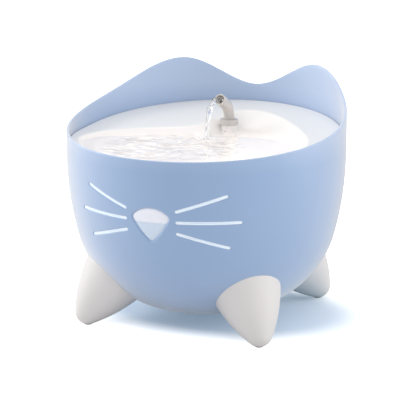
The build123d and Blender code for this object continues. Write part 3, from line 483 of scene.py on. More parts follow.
def horn(angle, cols=96):
    """Horn turned about its leaning axis and stood on its flat."""
    profile = horn_profile()
    turn = circle(cols)
    lean = np.radians(FOOT_LEAN)
    out = polar(1, angle)
    axis = -out * np.sin(lean) + np.array([0, 0, np.cos(lean)])
    side = np.cross(out, (0, 0, 1))
    third = np.cross(axis, side)
    ring = np.cos(turn)[:, None] * side + np.sin(turn)[:, None] * third
    foot = polar(FOOT_CIRCLE_R, angle, FOOT_CENTRE_Z)
    grid = foot + profile[:, :1, None] * ring + profile[:, 1:, None] * axis
    grid[..., 2] = np.maximum(grid[..., 2], FOOT_FLAT_Z)
    return skin(f"foot_{angle:.0f}", grid)


print("horn length", round(float(np.ptp(horn_profile()[:, 1])), 1), "mm")

# %% [markdown]
# The belly cuts each horn off along a curve. From below, a recess for the screw and a seat for the pad go in.

# %% Feet
FEET = {"front_right": 46.0, "rear_right": 134.0, "rear_left": 226.0, "front_left": -46.0}
SCREW_INSET, SCREW_RECESS_R, SCREW_SEAT_Z = 17.8, 3.3, 14.0
PAD_R, PAD_HEIGHT, UNDER_Z = 3.2, 2.4, -2.0


def bowl_filler():
    """Everything inside the bowl's outer wall, for cutting the feet to it."""
    z = wall_rows(0, 70, UPRIGHT_Z)
    profile = [(2.0, BASE_Z - PRESS)] + [(float(wall_radius(h)) + PRESS, h - (PRESS if k == 0 else 0))
                                         for k, h in enumerate(z)]
    return skin("cutter", lathe(profile, cols=240))


def round_cutter(centre, radius, low, high):
    """Upright round bar."""
    return skin("cutter", lathe([(radius, low), (radius, high)], centre, 40))


feet = {}
for word, angle in FEET.items():
    foot = horn(angle)
    screw, tip = polar(FOOT_CIRCLE_R - SCREW_INSET, angle), polar(FOOT_CIRCLE_R, angle)
    carve(foot, [bowl_filler(), round_cutter(screw[:2], SCREW_RECESS_R, UNDER_Z, SCREW_SEAT_Z),
                 round_cutter(tip[:2], PAD_R + PRESS, UNDER_Z, PAD_HEIGHT)])
    foot.name = f"horn_{word}"
    feet[word] = settle(foot, 40)

# %% [markdown]
# ## Drinking dish
# The deck is level in front and rises behind, with a soft bend between. The basin has a flat floor, a round
# corner and a cone.

# %% Deck and basin
DISH_R, DISH_WALL = 109.4, 2.0
DECK_Z, DECK_ANGLE, DECK_BLEND = 145.4, np.radians(6.85), 260.0
BASIN_Y, BASIN_R, BASIN_FLOOR_Z, BASIN_ANGLE, BASIN_ROUND = -20.0, 84.5, 137.0, np.radians(38.0), 6.0
CONE_FOOT_R = BASIN_R - (DECK_Z - BASIN_FLOOR_Z) / np.tan(BASIN_ANGLE)


def deck_height(y, drop=0.0):
    """Level, then an arc, then a straight rise, each tangent to the next."""
    half = DECK_BLEND * np.tan(DECK_ANGLE / 2)
    end = half * np.cos(DECK_ANGLE)
    bend = DECK_BLEND - np.sqrt(np.maximum(DECK_BLEND ** 2 - (np.clip(y, -half, end) + half) ** 2, 0))
    return DECK_Z - drop + np.where(y > end, y * np.tan(DECK_ANGLE), bend)


def basin_height(radius, thick=0.0):
    """Flat floor, a round corner and a cone."""
    floor_z = BASIN_FLOOR_Z - thick
    corner = CONE_FOOT_R + thick * np.tan(BASIN_ANGLE / 2)
    curve = BASIN_ROUND + thick
    half = curve * np.tan(BASIN_ANGLE / 2)
    bend = curve - np.sqrt(np.maximum(curve ** 2 - np.clip(radius - corner + half, 0, None) ** 2, 0))
    cone = (radius - corner) * np.tan(BASIN_ANGLE)
    return floor_z + np.where(radius > corner + half * np.cos(BASIN_ANGLE), cone, bend)


def soft_min(a, b, blend):
    """The lower of two heights, with the crease between them rounded."""
    h = np.clip(0.5 + 0.5 * (b - a) / blend, 0, 1)
    return b * (1 - h) + a * h - blend * h * (1 - h)


print("deck rises from", DECK_Z, "to", round(float(deck_height(DISH_R)), 1), "mm")

# %% [markdown]
# The brim seen here is no circle: on the left the deck comes forward to the spout, and on the right the basin
# sweeps round behind it. It goes through pairs of an angle from the nose and a reach from the middle of the
# basin. The solid dish has a round brim of BASIN_R, so the two differ by up to 13 mm at the rear.

# %% Brim
BRIM = ((0, 84.5), (25, 84.5), (75, 87), (100, 88), (128, 87), (142, 89), (156, 95), (172, 102), (182, 98),
        (188, 82), (194, 64), (203, 52), (217, 51), (234, 59), (250, 75), (263, 91), (280, 97), (300, 92),
        (335, 84.5))
BRIM_STEP, REACH_SOFT, SLOPE_SOFT = 0.5, 6, 4


def reach_to_circle(direction, radius):
    """Distance from the basin's middle to a circle about the bowl's middle, along each direction."""
    lean = BASIN_Y * direction[:, 1]
    return -lean + np.sqrt(lean ** 2 + radius ** 2 - BASIN_Y ** 2)


def brim(turn):
    """Reach, height and obliquity of the brim: the reaches softened twice over 6 degrees, the deck's height
    there, and the cosine of the angle between the outward direction and the square to the brim."""
    knots = np.array(BRIM, float)
    fine = np.arange(0, 360, BRIM_STEP)
    reach = np.interp(fine, knots[:, 0], knots[:, 1], period=360)
    for _ in range(2):
        reach = np.mean([np.roll(reach, k) for k in range(-REACH_SOFT, REACH_SOFT + 1)], axis=0)
    slope = (np.roll(reach, -1) - np.roll(reach, 1)) / np.radians(2 * BRIM_STEP)
    slope = np.mean([np.roll(slope, k) for k in range(-SLOPE_SOFT, SLOPE_SOFT + 1)], axis=0)
    at = np.degrees(turn) % 360
    reach, slope = (np.interp(at, fine, v, period=360) for v in (reach, slope))
    return reach, deck_height(BASIN_Y - reach * np.cos(turn)), 1 / np.hypot(1, slope / reach)


def own_reach(reach, turn):
    """Reach on the basin's round profile that has the same depth under the brim."""
    edge, edge_z, square = brim(turn)
    return CONE_FOOT_R + (edge_z - BASIN_FLOOR_Z) / np.tan(BASIN_ANGLE) - (edge - reach) * square


print("brim reaches from", min(r for _, r in BRIM), "to", max(r for _, r in BRIM), "mm")

# %% [markdown]
# For every direction from the middle of the basin, the profile of the shell crosses the basin floor, climbs its
# sloping wall, rolls over the brim onto the deck, and drops down the skirt at the outer edge.

# %% Shell of the dish
BRIM_ROUND, EDGE = 1.2, 0.8
FIRST_R, EVEN_R, BRIM_BAND, BAND_SHARE, LAST_SHARE = 5.0, 26.0, 4.0, 0.6, 0.04


def spots(reach, direction):
    """Places at a reach from the middle of the basin, in each direction."""
    return np.array([0, BASIN_Y]) + reach[:, None] * direction


def dish_ring(reach, turn, direction, thick=0.0):
    """Ring at a reach in each direction, on the basin or on the deck, whichever is lower."""
    spot = spots(reach, direction)
    z = soft_min(basin_height(own_reach(reach, turn), thick), deck_height(spot[:, 1], thick), BRIM_ROUND)
    return np.column_stack([spot, z])


def dish_rows(cols=288):
    """Upper face outwards, skirt down, lower face back inwards."""
    turn = circle(cols)
    direction = np.column_stack([np.sin(turn), -np.cos(turn)])
    outer = reach_to_circle(direction, DISH_R - EDGE)
    edge = brim(turn)[0]
    near = np.minimum(edge + BRIM_BAND, edge + (outer - edge) * BAND_SHARE)
    before = edge - BRIM_BAND
    steps = [np.full(cols, r) for r in np.linspace(FIRST_R, EVEN_R, 14)]
    steps += [EVEN_R + (before - EVEN_R) * s for s in np.linspace(0, 1, 40)[1:]]
    steps += [before + (near - before) * s for s in np.linspace(0, 1, 18)[1:]]
    steps += [near + (outer - near) * s for s in np.linspace(0, 1, 12)[1:]]
    rows = [dish_ring(reach, turn, direction) for reach in steps]
    top = rows[-1]
    spoke = top[:, :2] / np.linalg.norm(top[:, :2], axis=1)[:, None]
    edge_z = deck_height(top[:, 1])
    for t in np.linspace(0, np.pi / 2, 6)[1:]:
        rim = spoke * (DISH_R - EDGE + EDGE * np.sin(t))
        rows.append(np.column_stack([rim, edge_z - EDGE + EDGE * np.cos(t)]))
    for r in (DISH_R, DISH_R - DISH_WALL):
        rows.append(np.column_stack([spoke * r, np.full(cols, LEDGE_Z)]))
    under = reach_to_circle(direction, DISH_R - DISH_WALL)
    rows += [dish_ring(under * s, turn, direction, DISH_WALL) for s in np.linspace(1, LAST_SHARE, 40)]
    return np.array(rows)


dish = skin("dish_skin", dish_rows())
print("dish points", len(dish.data.vertices))

# %% [markdown]
# A boss carries the spout, a socket under it takes the riser, and four studs stand under the floor. Five slots
# with round ends go through the sloping front of the basin.

# %% Boss, socket, studs and slots
WATER_Z = 143.0
SPOUT_Y, BORE_R, BOSS_R, BOSS_TOP_Z = 48.9, 4.9, 6.3, 149.8
SOCKET_R, SOCKET_WALL, SOCKET_DEPTH = 6.8, 1.7, 8.0
DISH_UNDER_Z, SUNK = BASIN_FLOOR_Z - DISH_WALL, 1.0
STUDS, STUD_R, STUD_LENGTH = [(x, y) for x in (-30.5, 30.5) for y in (-62.0, -84.0)], 2.0, 6.0
DRAINS, DRAIN_STEP, DRAIN_HALF, DRAIN_R, DRAIN_TOP_Z = 5, 10.0, 3.3, 1.7, 159.0


def post(centre, radius, low, high, edge=0.35, cols=64):
    """Round post with softened rims."""
    profile = rounded([(radius * 0.05, high), (radius, high), (radius, low), (radius * 0.05, low)], edge)
    return skin("post", lathe(profile, centre, cols))


def drain_cutter(index):
    """Slot with round ends, its outline turned about the middle of the basin."""
    angle = np.radians((index - (DRAINS - 1) / 2) * DRAIN_STEP)
    shore = BASIN_R - (DECK_Z - WATER_Z) / np.tan(BASIN_ANGLE)
    t = np.linspace(-np.pi / 2, np.pi / 2, 10)
    right = np.column_stack([DRAIN_HALF + DRAIN_R * np.cos(t), DRAIN_R * np.sin(t)])
    loop = np.vstack([right, -right]) + (0, -shore - DRAIN_R)
    x = loop[:, 0] * np.cos(angle) - loop[:, 1] * np.sin(angle)
    y = loop[:, 0] * np.sin(angle) + loop[:, 1] * np.cos(angle) + BASIN_Y
    return skin("cutter", np.array([np.column_stack([x, y, np.full_like(x, z)])
                                    for z in (LEDGE_Z, DRAIN_TOP_Z)]))


spout_spot = (0.0, SPOUT_Y)
socket_z = DISH_UNDER_Z - SOCKET_DEPTH
carve(dish, [post(spout_spot, BOSS_R, DISH_UNDER_Z + SUNK / 2, BOSS_TOP_Z),
             post(spout_spot, SOCKET_R + SOCKET_WALL, socket_z, DISH_UNDER_Z + SUNK)]
      + [post(s, STUD_R, DISH_UNDER_Z - STUD_LENGTH, DISH_UNDER_Z + SUNK, cols=32) for s in STUDS], "UNION")
carve(dish, [round_cutter(spout_spot, SOCKET_R, socket_z - SUNK, DISH_UNDER_Z),
             round_cutter(spout_spot, BORE_R, DISH_UNDER_Z - SUNK, BOSS_TOP_Z + SUNK)]
      + [drain_cutter(k) for k in range(DRAINS)])
settle(dish, 30)

# %% [markdown]
# ## Spout and collar
# The spout is a circle carried along a line that rises, bends forwards and ends straight. A thin flange round
# it sits on the boss.

# %% Spout
TUBE_R, TUBE_WALL, TUBE_BOTTOM_Z, TUBE_LIP = 4.6, 1.4, 122.0, 0.35
TUBE_BEND_Z, TUBE_BEND_R, TUBE_BEND, TUBE_MOUTH = 152.6, 15.0, np.radians(65.0), 13.0
FLANGE_Z, FLANGE_TOP_Z, FLANGE_SUNK = 149.85, 150.85, 0.4


def tube_line():
    """Centre line: height up the riser, then round the bend, then straight to the mouth; with its direction."""
    rise = np.linspace(TUBE_BOTTOM_Z, TUBE_BEND_Z, 10)[:-1]
    bend = np.linspace(0, TUBE_BEND, 24)
    end = np.linspace(0, TUBE_MOUTH, 6)[1:]
    y = np.concatenate([np.full(len(rise), SPOUT_Y), SPOUT_Y - TUBE_BEND_R * (1 - np.cos(bend)),
                        SPOUT_Y - TUBE_BEND_R * (1 - np.cos(TUBE_BEND)) - end * np.sin(TUBE_BEND)])
    z = np.concatenate([rise, TUBE_BEND_Z + TUBE_BEND_R * np.sin(bend),
                        TUBE_BEND_Z + TUBE_BEND_R * np.sin(TUBE_BEND) + end * np.cos(TUBE_BEND)])
    return y, z, np.concatenate([np.zeros(len(rise)), bend, np.full(len(end), TUBE_BEND)])


def tube_rings(radii, y, z, lean, cols=56):
    """Circles of the given radii, square to the line."""
    turn = circle(cols)
    across, up = np.cos(turn), np.sin(turn)
    r, y, z, lean = (np.asarray(v, float)[:, None] for v in (radii, y, z, lean))
    return np.stack([r * across, y + r * up * np.cos(lean), z + r * up * np.sin(lean)], -1)


y, z, lean = tube_line()
bore_r = TUBE_R - TUBE_WALL
outside = tube_rings(np.full(len(y), TUBE_R), y, z, lean)
inside = tube_rings(np.full(len(y), bore_r), y, z, lean)
outside[-1] = tube_rings([TUBE_R - TUBE_LIP], y[-1:], z[-1:], lean[-1:])[0]
back = tube_rings([TUBE_R], y[-1:] + TUBE_LIP * np.sin(TUBE_BEND), z[-1:] - TUBE_LIP * np.cos(TUBE_BEND),
                  lean[-1:])
inside[-1] = tube_rings([bore_r + TUBE_LIP], y[-1:], z[-1:], lean[-1:])[0]
spout = tube_skin("spout", np.concatenate([outside[:-1], back, outside[-1:], inside[::-1]]))
flange = tube_skin("flange", lathe([(TUBE_R - FLANGE_SUNK, FLANGE_Z), (BOSS_R - PRESS, FLANGE_Z),
                                    (BOSS_R - PRESS, FLANGE_TOP_Z), (TUBE_R - FLANGE_SUNK, FLANGE_TOP_Z)],
                                   spout_spot, 56))
spout = settle(joined("spout_skin", [spout, flange]), 40)
print("middle of the spout's mouth", round(float(z[-1]), 1), "mm up")

# %% [markdown]
# The collar is a turned ring that reaches down round the boss and holds the flange on it.

# %% Collar
COLLAR_R, COLLAR_LID, COLLAR_SKIRT, COLLAR_ROUND, COLLAR_GAP, FLANGE_THICK = 7.75, 0.9, 2.2, 0.45, 0.3, 1.0
cavity_r, cavity_z = BOSS_R + COLLAR_GAP, BOSS_TOP_Z + FLANGE_THICK + COLLAR_GAP
skirt_z, lid_z = BOSS_TOP_Z - COLLAR_SKIRT, cavity_z + COLLAR_LID
ring = rounded([(cavity_r, skirt_z), (COLLAR_R, skirt_z), (COLLAR_R, lid_z), (BORE_R, lid_z),
                (BORE_R, cavity_z), (cavity_r, cavity_z), (cavity_r, skirt_z)], COLLAR_ROUND)[:-1]
collar = settle(tube_skin("collar_skin", lathe(ring, spout_spot, 96)), 40)
print("collar from", round(skirt_z, 2), "to", round(lid_z, 2), "mm")

# %% [markdown]
# ## Water
# Rings spread over the pool from where the stream lands and from three other places. Each is written as its
# source x and y, its wavelength, its height and how far it reaches.

# %% Ripples
STIRRED, STIRRED_R, STIRRED_FADE = (-14.0, -38.0), 60.0, 14.0
RINGS = ((0.0, 2.0, 8.5, 0.55, 34.0), (-46.0, -30.0, 10.5, 0.36, 34.0), (-22.0, -62.0, 12.0, 0.30, 34.0),
         (26.0, -40.0, 11.0, 0.16, 30.0))


def ripple(x, y):
    """Sum of rings: each is a cosine of the distance from its source, fading with distance, in millimetres. The
    sum dies away towards the edge of the stirred patch, and the water beyond it lies still."""
    total = np.zeros_like(x)
    for sx, sy, wave, size, reach in RINGS:
        bent = 2.2 * np.sin(x / 9.0 + sy) + 1.8 * np.cos(y / 7.0 + sx)
        far = np.hypot(x - sx, y - sy) + bent
        total += size * np.cos(2 * np.pi * far / wave) * np.exp(-(np.hypot(x - sx, y - sy) / reach) ** 2)
    return total * np.clip((STIRRED_R - np.hypot(x - STIRRED[0], y - STIRRED[1])) / STIRRED_FADE, 0, 1)


print("ripple height where the stream lands", round(float(ripple(np.zeros(1), np.full(1, 2.0))[0]), 2), "mm")

# %% [markdown]
# The pool is a thin clear body: its underside lies just inside the basin's wall, so that no air is left between
# them. The boss of the spout stands in a hole through it.

# %% Pool
SHORE_LAP, SHORE_CALM, POOL_SUNK = 0.4, 12.0, 0.45
POOL_CUT_LOW_Z, POOL_CUT_HIGH_Z = 130.0, 150.0


def pool_rows(cols=240, rows=150):
    """Surface outwards to the shore, then the underside back in, a little below the basin's face."""
    turn = circle(cols)
    direction = np.column_stack([np.sin(turn), -np.cos(turn)])
    edge, edge_z, square = brim(turn)
    shore = edge - (edge_z - WATER_Z) / np.tan(BASIN_ANGLE) / square
    out = []
    for share in np.linspace(MIDDLE_SHARE, 1, rows):
        reach = share * (shore + SHORE_LAP)
        spot = spots(reach, direction)
        calm = np.clip((shore - reach) / SHORE_CALM, 0, 1) ** 2
        out.append(np.column_stack([spot, WATER_Z + ripple(spot[:, 0], spot[:, 1]) * calm]))
    for share in np.linspace(1, MIDDLE_SHARE, 40):
        reach = share * (shore + SHORE_LAP)
        under = np.minimum(basin_height(own_reach(reach, turn)), WATER_Z) - POOL_SUNK
        out.append(np.column_stack([spots(reach, direction), under]))
    return np.array(out)


boss_hole = round_cutter(spout_spot, BOSS_R + PRESS, POOL_CUT_LOW_Z, POOL_CUT_HIGH_Z)
pool = settle(carve(skin("water_pool", pool_rows()), [boss_hole]), 60)

# %% [markdown]
# The stream leaves the mouth forwards, arches over and falls into the pool. It is a soft rope whose width
# swells and pinches as it falls.

# %% Stream
FALL = np.array([(0.0, 29.5, 171.2), (0.0, 24.0, 172.6), (-0.4, 17.5, 171.9), (-0.6, 10.5, 168.4),
                 (-0.4, 5.2, 162.4), (-0.1, 2.8, 155.0), (0.2, 2.2, 148.5), (0.0, 2.0, 142.6)])
SPLASH_ROWS, SPLASH = 6, 1.6


def smooth_line(points, count):
    """Cubic through the points: the slope at each is half the way from the point before to the point after."""
    grown_ends = np.vstack([2 * points[0] - points[1], points, 2 * points[-1] - points[-2]])
    t = np.linspace(0, len(points) - 1, count)
    k = np.minimum(t.astype(int), len(points) - 2)
    f = (t - k)[:, None]
    a, b, c, d = (grown_ends[k + j] for j in range(4))
    return 0.5 * (2 * b + (c - a) * f + (2 * a - 5 * b + 4 * c - d) * f ** 2 + (3 * b - 3 * c + d - a) * f ** 3)


def stream_grid(count=120, cols=28):
    """Ellipse carried down the line; its width and turn wander, so that it reads as falling water."""
    line = smooth_line(FALL, count)
    ahead = np.gradient(line, axis=0)
    ahead /= np.linalg.norm(ahead, axis=1)[:, None]
    side = np.tile([1.0, 0, 0], (count, 1))
    third = np.cross(ahead, side)
    third /= np.linalg.norm(third, axis=1)[:, None]
    s = np.linspace(0, 1, count)
    wide = 2.7 - 0.9 * s + 0.35 * np.sin(17 * s) + 0.22 * np.sin(41 * s + 1)
    thin = 2.2 - 1.0 * s + 0.28 * np.cos(23 * s) + 0.15 * np.sin(53 * s)
    splash = np.linspace(0, SPLASH, SPLASH_ROWS) ** 2
    wide[-SPLASH_ROWS:] += splash
    thin[-SPLASH_ROWS:] += splash
    twist = 1.6 * s + 0.5 * np.sin(9 * s)
    turn = circle(cols)[None]
    u = wide[:, None] * np.cos(turn) * (1 + 0.12 * np.cos(3 * turn + 14 * s[:, None]))
    v = thin[:, None] * np.sin(turn)
    c, n = np.cos(twist)[:, None], np.sin(twist)[:, None]
    across, along = (u * c - v * n)[..., None], (u * n + v * c)[..., None]
    return line[:, None] + across * side[:, None] + along * third[:, None]


stream = settle(skin("water_stream", stream_grid()), 80)

# %% [markdown]
# ## Finishes
# One helper adds a node. Colours are written as sRGB hex and made linear.

# %% Material helpers
def hue(text):
    """sRGB hex to linear red, green, blue, alpha."""
    c = np.array([int(text[k:k + 2], 16) for k in (0, 2, 4)]) / 255
    return (*np.where(c <= 0.04045, c / 12.92, ((c + 0.055) / 1.055) ** 2.4).tolist(), 1.0)


def add(tree, kind, settings=None, links=None):
    """One node with its settings and inputs; a link is an output socket."""
    node = tree.nodes.new("ShaderNode" + kind)
    for key, value in (settings or {}).items():
        if isinstance(key, str) and hasattr(node, key):
            setattr(node, key, value)
        else:
            node.inputs[key].default_value = value
    for key, source in (links or {}).items():
        tree.links.new(source, node.inputs[key])
    return node


def found(tree, kind):
    """The first node of a kind."""
    return next(node for node in tree.nodes if node.type == kind)


def blank(name):
    """New material, its nodes, and the one node that it starts with: the place on the piece, in metres."""
    material = bpy.data.materials.new(name)
    material.use_nodes = True
    tree = material.node_tree
    tree.nodes.clear()
    return material, tree, add(tree, "TexCoord").outputs["Object"]


print("mid grey, linear", round(hue("808080")[0], 3))

# %% [markdown]
# Moulded plastic is never one flat tone: a slow cloudiness, a fine mould grain in the bump, and small changes
# of gloss.

# %% Moulded plastic
CLOUD_M, GRAIN_CELL, GLOSS_SPREAD = 0.040, 4, 0.05


def moulded(name, colour, shade, roughness=0.42, grain_mm=0.35, grain_depth=0.012, coat=0.0, kinds=None):
    """Injection-moulded plastic: two close tones in clouds, and the fine grain of the mould."""
    material, tree, place = blank(name)
    cloud = add(tree, "TexNoise", {"Scale": 1 / CLOUD_M, "Detail": 3.0}, {"Vector": place})
    grain = add(tree, "TexNoise", {"Scale": 1 / (grain_mm * MM * GRAIN_CELL), "Detail": 2.0},
                {"Vector": place})
    tone = add(tree, "Mix", {"data_type": "RGBA", "A": hue(colour), "B": hue(shade)},
               {"Factor": cloud.outputs["Fac"]})
    gloss = add(tree, "MapRange", {"To Min": roughness - GLOSS_SPREAD, "To Max": roughness + GLOSS_SPREAD},
                {"Value": grain.outputs["Fac"]})
    bump = add(tree, "Bump", {"Strength": 0.35, "Distance": grain_depth * MM},
               {"Height": grain.outputs["Fac"]})
    settings = {"Coat Weight": coat, "IOR": 1.46, **(kinds or {})}
    body = add(tree, "BsdfPrincipled", settings,
               {"Base Color": tone.outputs["Result"], "Roughness": gloss.outputs["Result"],
                "Normal": bump.outputs["Normal"]})
    add(tree, "OutputMaterial", None, {"Surface": body.outputs["BSDF"]})
    return material


print("clouds about", CLOUD_M / MM, "mm wide")

# %% [markdown]
# ## Clear finishes
# Clear parts are real glass-like bodies. Light reaches what lies under them through a transparent path, so
# that a white basin stays white under its water.

# %% Clear plastic and water
WATER_IOR, PLASTIC_IOR = 1.333, 1.50
RIPPLE_DEPTH_MM = 0.15


def clear(name, colour, ior, roughness, veil=0.0, veil_colour="FFFFFF", ripple_mm=0.0, open_share=0.0,
          glow=0.0):
    """Refracting body with a milky share, a share seen straight through and a little light of its own."""
    material, tree, place = blank(name)
    links = {}
    if ripple_mm:
        fine = add(tree, "TexNoise", {"Scale": 1 / (ripple_mm * MM), "Detail": 2.0}, {"Vector": place})
        bump = add(tree, "Bump", {"Strength": 0.25, "Distance": RIPPLE_DEPTH_MM * MM},
                   {"Height": fine.outputs["Fac"]})
        links["Normal"] = bump.outputs["Normal"]
    body = add(tree, "BsdfPrincipled", {"Base Color": hue(colour), "Roughness": roughness, "IOR": ior,
                                        "Emission Color": hue(veil_colour), "Emission Strength": glow,
                                        "Transmission Weight": 1.0 - veil}, links)
    path = add(tree, "LightPath")
    through = add(tree, "BsdfTransparent", {"Color": hue(veil_colour)})
    share = add(tree, "Math", {"operation": "MAXIMUM", 1: open_share}, {0: path.outputs["Is Shadow Ray"]})
    mix = add(tree, "MixShader", None, {"Fac": share.outputs["Value"], 1: body.outputs["BSDF"],
                                        2: through.outputs["BSDF"]})
    add(tree, "OutputMaterial", None, {"Surface": mix.outputs["Shader"]})
    return material


print("light bends by", WATER_IOR, "in water and", PLASTIC_IOR, "in clear plastic")

# %% [markdown]
# Foam, granules, wire and turned steel are two tones in cells of their real spacing.

# %% Grained and open stuff
FULL_TONE = 0.6


def two_tone(name, colour, shade, size_mm, roughness, metallic=0.0, bump_mm=0.1, texture="TexVoronoi",
             output="Distance"):
    """Open or grained stuff: foam cells, granules or wire, drawn at their real spacing."""
    material, tree, place = blank(name)
    cells = add(tree, texture, {"Scale": 1 / (size_mm * MM)}, {"Vector": place})
    ramp = add(tree, "ValToRGB", None, {"Fac": cells.outputs[output]})
    ramp.color_ramp.elements[0].color, ramp.color_ramp.elements[1].color = hue(shade), hue(colour)
    ramp.color_ramp.elements[1].position = FULL_TONE
    bump = add(tree, "Bump", {"Strength": 0.6, "Distance": bump_mm * MM}, {"Height": cells.outputs[output]})
    body = add(tree, "BsdfPrincipled", {"Roughness": roughness, "Metallic": metallic},
               {"Base Color": ramp.outputs["Color"], "Normal": bump.outputs["Normal"]})
    add(tree, "OutputMaterial", None, {"Surface": body.outputs["BSDF"]})
    return material


print("cells reach their full tone at", FULL_TONE)

# %% [markdown]
# Some pieces change tone with height. Painted light makes the bowl's wall lighter towards the top, painted
# shade makes the dish's level deck greyer than its basin, and the two halves of the nose differ.

# %% Tone by height
LEVEL_BLEND = 0.06


def by_height(material, colour, low_mm, high_mm, level=-1.0):
    """Another tone above a height, and only where the surface lies at least as level as asked."""
    tree = material.node_tree
    body, place = found(tree, "BSDF_PRINCIPLED"), found(tree, "TEX_COORD")
    up = add(tree, "SeparateXYZ", None, {"Vector": place.outputs["Object"]})
    facing = add(tree, "SeparateXYZ", None, {"Vector": place.outputs["Normal"]})
    high = add(tree, "MapRange", {"From Min": low_mm * MM, "From Max": high_mm * MM},
               {"Value": up.outputs["Z"]})
    flat = add(tree, "MapRange", {"From Min": level - LEVEL_BLEND, "From Max": level},
               {"Value": facing.outputs["Z"]})
    share = add(tree, "Math", {"operation": "MULTIPLY"},
                {0: high.outputs["Result"], 1: flat.outputs["Result"]})
    tone = add(tree, "Mix", {"data_type": "RGBA", "B": hue(colour)}, {"Factor": share.outputs["Value"]})
    base = body.inputs["Base Color"]
    if base.links:
        tree.links.new(base.links[0].from_socket, tone.inputs["A"])
    else:
        tone.inputs["A"].default_value = base.default_value
    tree.links.new(tone.outputs["Result"], base)
    return material


print("level faces fade in over", LEVEL_BLEND, "of the normal's height")

# %% [markdown]
# Painted shade stands in for the ripples of moving water: grey streaks of noise drawn out sideways, in
# metres, round one place.

# %% Painted shade streaks on moving water
STREAK_LONG, STREAK_WIDE, STREAK_LOW, STREAK_HIGH = 0.026, 0.0075, 0.42, 0.57


def ripple_shade_streaks(material, colour, middle_mm, radius_mm):
    """Painted shade of the ripples: grey streaks round one place, fading to still water."""
    tree = material.node_tree
    body, place = found(tree, "BSDF_PRINCIPLED"), found(tree, "TEX_COORD").outputs["Object"]
    size = 1 / (radius_mm * MM)
    middle = (-middle_mm[0] * MM * size, -middle_mm[1] * MM * size, 0)
    about = add(tree, "Mapping", {"Location": middle, "Scale": (size, size, 0)}, {"Vector": place})
    far = add(tree, "VectorMath", {"operation": "LENGTH"}, {0: about.outputs["Vector"]})
    near = add(tree, "MapRange", {"From Min": 1.0, "From Max": 0.8}, {"Value": far.outputs["Value"]})
    drawn = add(tree, "Mapping", {"Scale": (1 / STREAK_LONG, 1 / STREAK_WIDE, 0)}, {"Vector": place})
    cells = add(tree, "TexNoise", {"Scale": 1.0, "Detail": 3.0, "Distortion": 2.2},
                {"Vector": drawn.outputs["Vector"]})
    line = add(tree, "MapRange", {"From Min": STREAK_LOW, "From Max": STREAK_HIGH},
               {"Value": cells.outputs["Fac"]})
    share = add(tree, "Math", {"operation": "MULTIPLY"},
                {0: near.outputs["Result"], 1: line.outputs["Result"]})
    base = body.inputs["Base Color"]
    tone = add(tree, "Mix", {"data_type": "RGBA", "A": base.default_value, "B": hue(colour)},
               {"Factor": share.outputs["Value"]})
    tree.links.new(tone.outputs["Result"], base)
    return material


print("streaks", STREAK_LONG / MM, "by", STREAK_WIDE / MM, "mm")

# %% [markdown]
# Each slot has a finish named for its real material. Four more belong to the lens, the water and the spout.

# %% Finishes
FINISH = {
    # painted light: the bowl's wall turns lighter from 138 to 172 mm up, standing in for light on the upper
    # wall
    "blue_abs": by_height(moulded("abs_periwinkle_satin", "94AFD3", "8EAAD0", 0.44, 0.35, 0.012, coat=0.6,
                                  kinds={"Sheen Weight": 1.0, "Sheen Roughness": 0.45, "Coat Roughness": 0.4,
                                         "Sheen Tint": hue("FFF8F0")}),
                          "B2C5E2", 138.0, 172.0),
    "foot_white": moulded("abs_white_matt_foot", "E0DCDA", "DAD6D5", 0.58, 0.30, 0.020),
    # painted shade: the level deck above about 145 mm is greyer than the white basin
    "dish_white": by_height(moulded("abs_white_dish", "F7F4F2", "F4F1EF", 0.34, 0.4, 0.008), "EBEBEB",
                            143.8, 145.2, 0.97),
    "clear_plastic": clear("polycarbonate_frosted", "F0F7FD", PLASTIC_IOR, 0.22, veil=0.85,
                           veil_colour="E6F1FB", glow=0.12),
    "seal_rubber": moulded("silicone_grey_seal", "8F959B", "868C92", 0.62),
    "pod_plastic": moulded("abs_white_pod", "F2F3F3", "ECEEEE", 0.40),
    "board_green": moulded("fibreglass_board_green", "2E6B4C", "285F43", 0.38, coat=0.4),
    "led_white": moulded("epoxy_led_white", "F5F4E6", "F0EEDA", 0.25, coat=0.5),
    "screw_steel": two_tone("steel_turned", "C6C9CC", "A9ADB1", 0.4, 0.28, 1.0, 0.01),
    "riser_grey": moulded("pvc_grey_riser", "C9CCCE", "C1C4C7", 0.35),
    "filter_white": moulded("polypropylene_white", "EEF0F0", "E7EAEA", 0.45),
    "foam_grey": two_tone("polyurethane_foam_grey", "8C9296", "4F5559", 1.1, 0.95, bump_mm=0.5),
    "carbon_black": two_tone("carbon_granules", "34363A", "141517", 1.6, 0.75, bump_mm=0.5),
    "pump_black": moulded("abs_black_pump", "24272B", "1F2226", 0.42, 0.5, 0.03),
    "core_steel": two_tone("steel_laminated", "9A9EA2", "6D7175", 0.5, 0.35, 1.0, 0.03, "TexWave", "Fac"),
    "coil_copper": two_tone("copper_enamelled_wire", "B5683C", "7A3F22", 0.5, 0.30, 1.0, 0.05, "TexWave",
                            "Fac"),
    "shaft_ceramic": moulded("alumina_ceramic", "F1ECE2", "EAE4D8", 0.22),
    "magnet_dark": moulded("ferrite_sintered", "3B3C40", "323337", 0.55),
    "impeller_white": moulded("acetal_white_impeller", "F0F1EE", "E9EAE7", 0.36),
}
lens_finish = by_height(clear("polycarbonate_lens", "D0DEEE", PLASTIC_IOR, 0.18, veil=0.9,
                              veil_colour="E6F1FB", glow=0.06), "F1F2FA", 99.4, 100.6)
# painted shade: grey streaks on the stirred water stand in for the shading of its ripples
water = ripple_shade_streaks(clear("water_pool", "FBF9F8", WATER_IOR, 0.0, veil_colour="FFFDFC", ripple_mm=9.0,
                       open_share=0.2), "AEADAF", STIRRED, STIRRED_R)
falling = clear("water_falling", "FFFFFF", WATER_IOR, 0.0, open_share=0.35)
spout_finish = moulded("abs_warm_grey_spout", "CFCAC5", "C5C0BB", 0.24, coat=0.3)
print("finishes", len(FINISH))
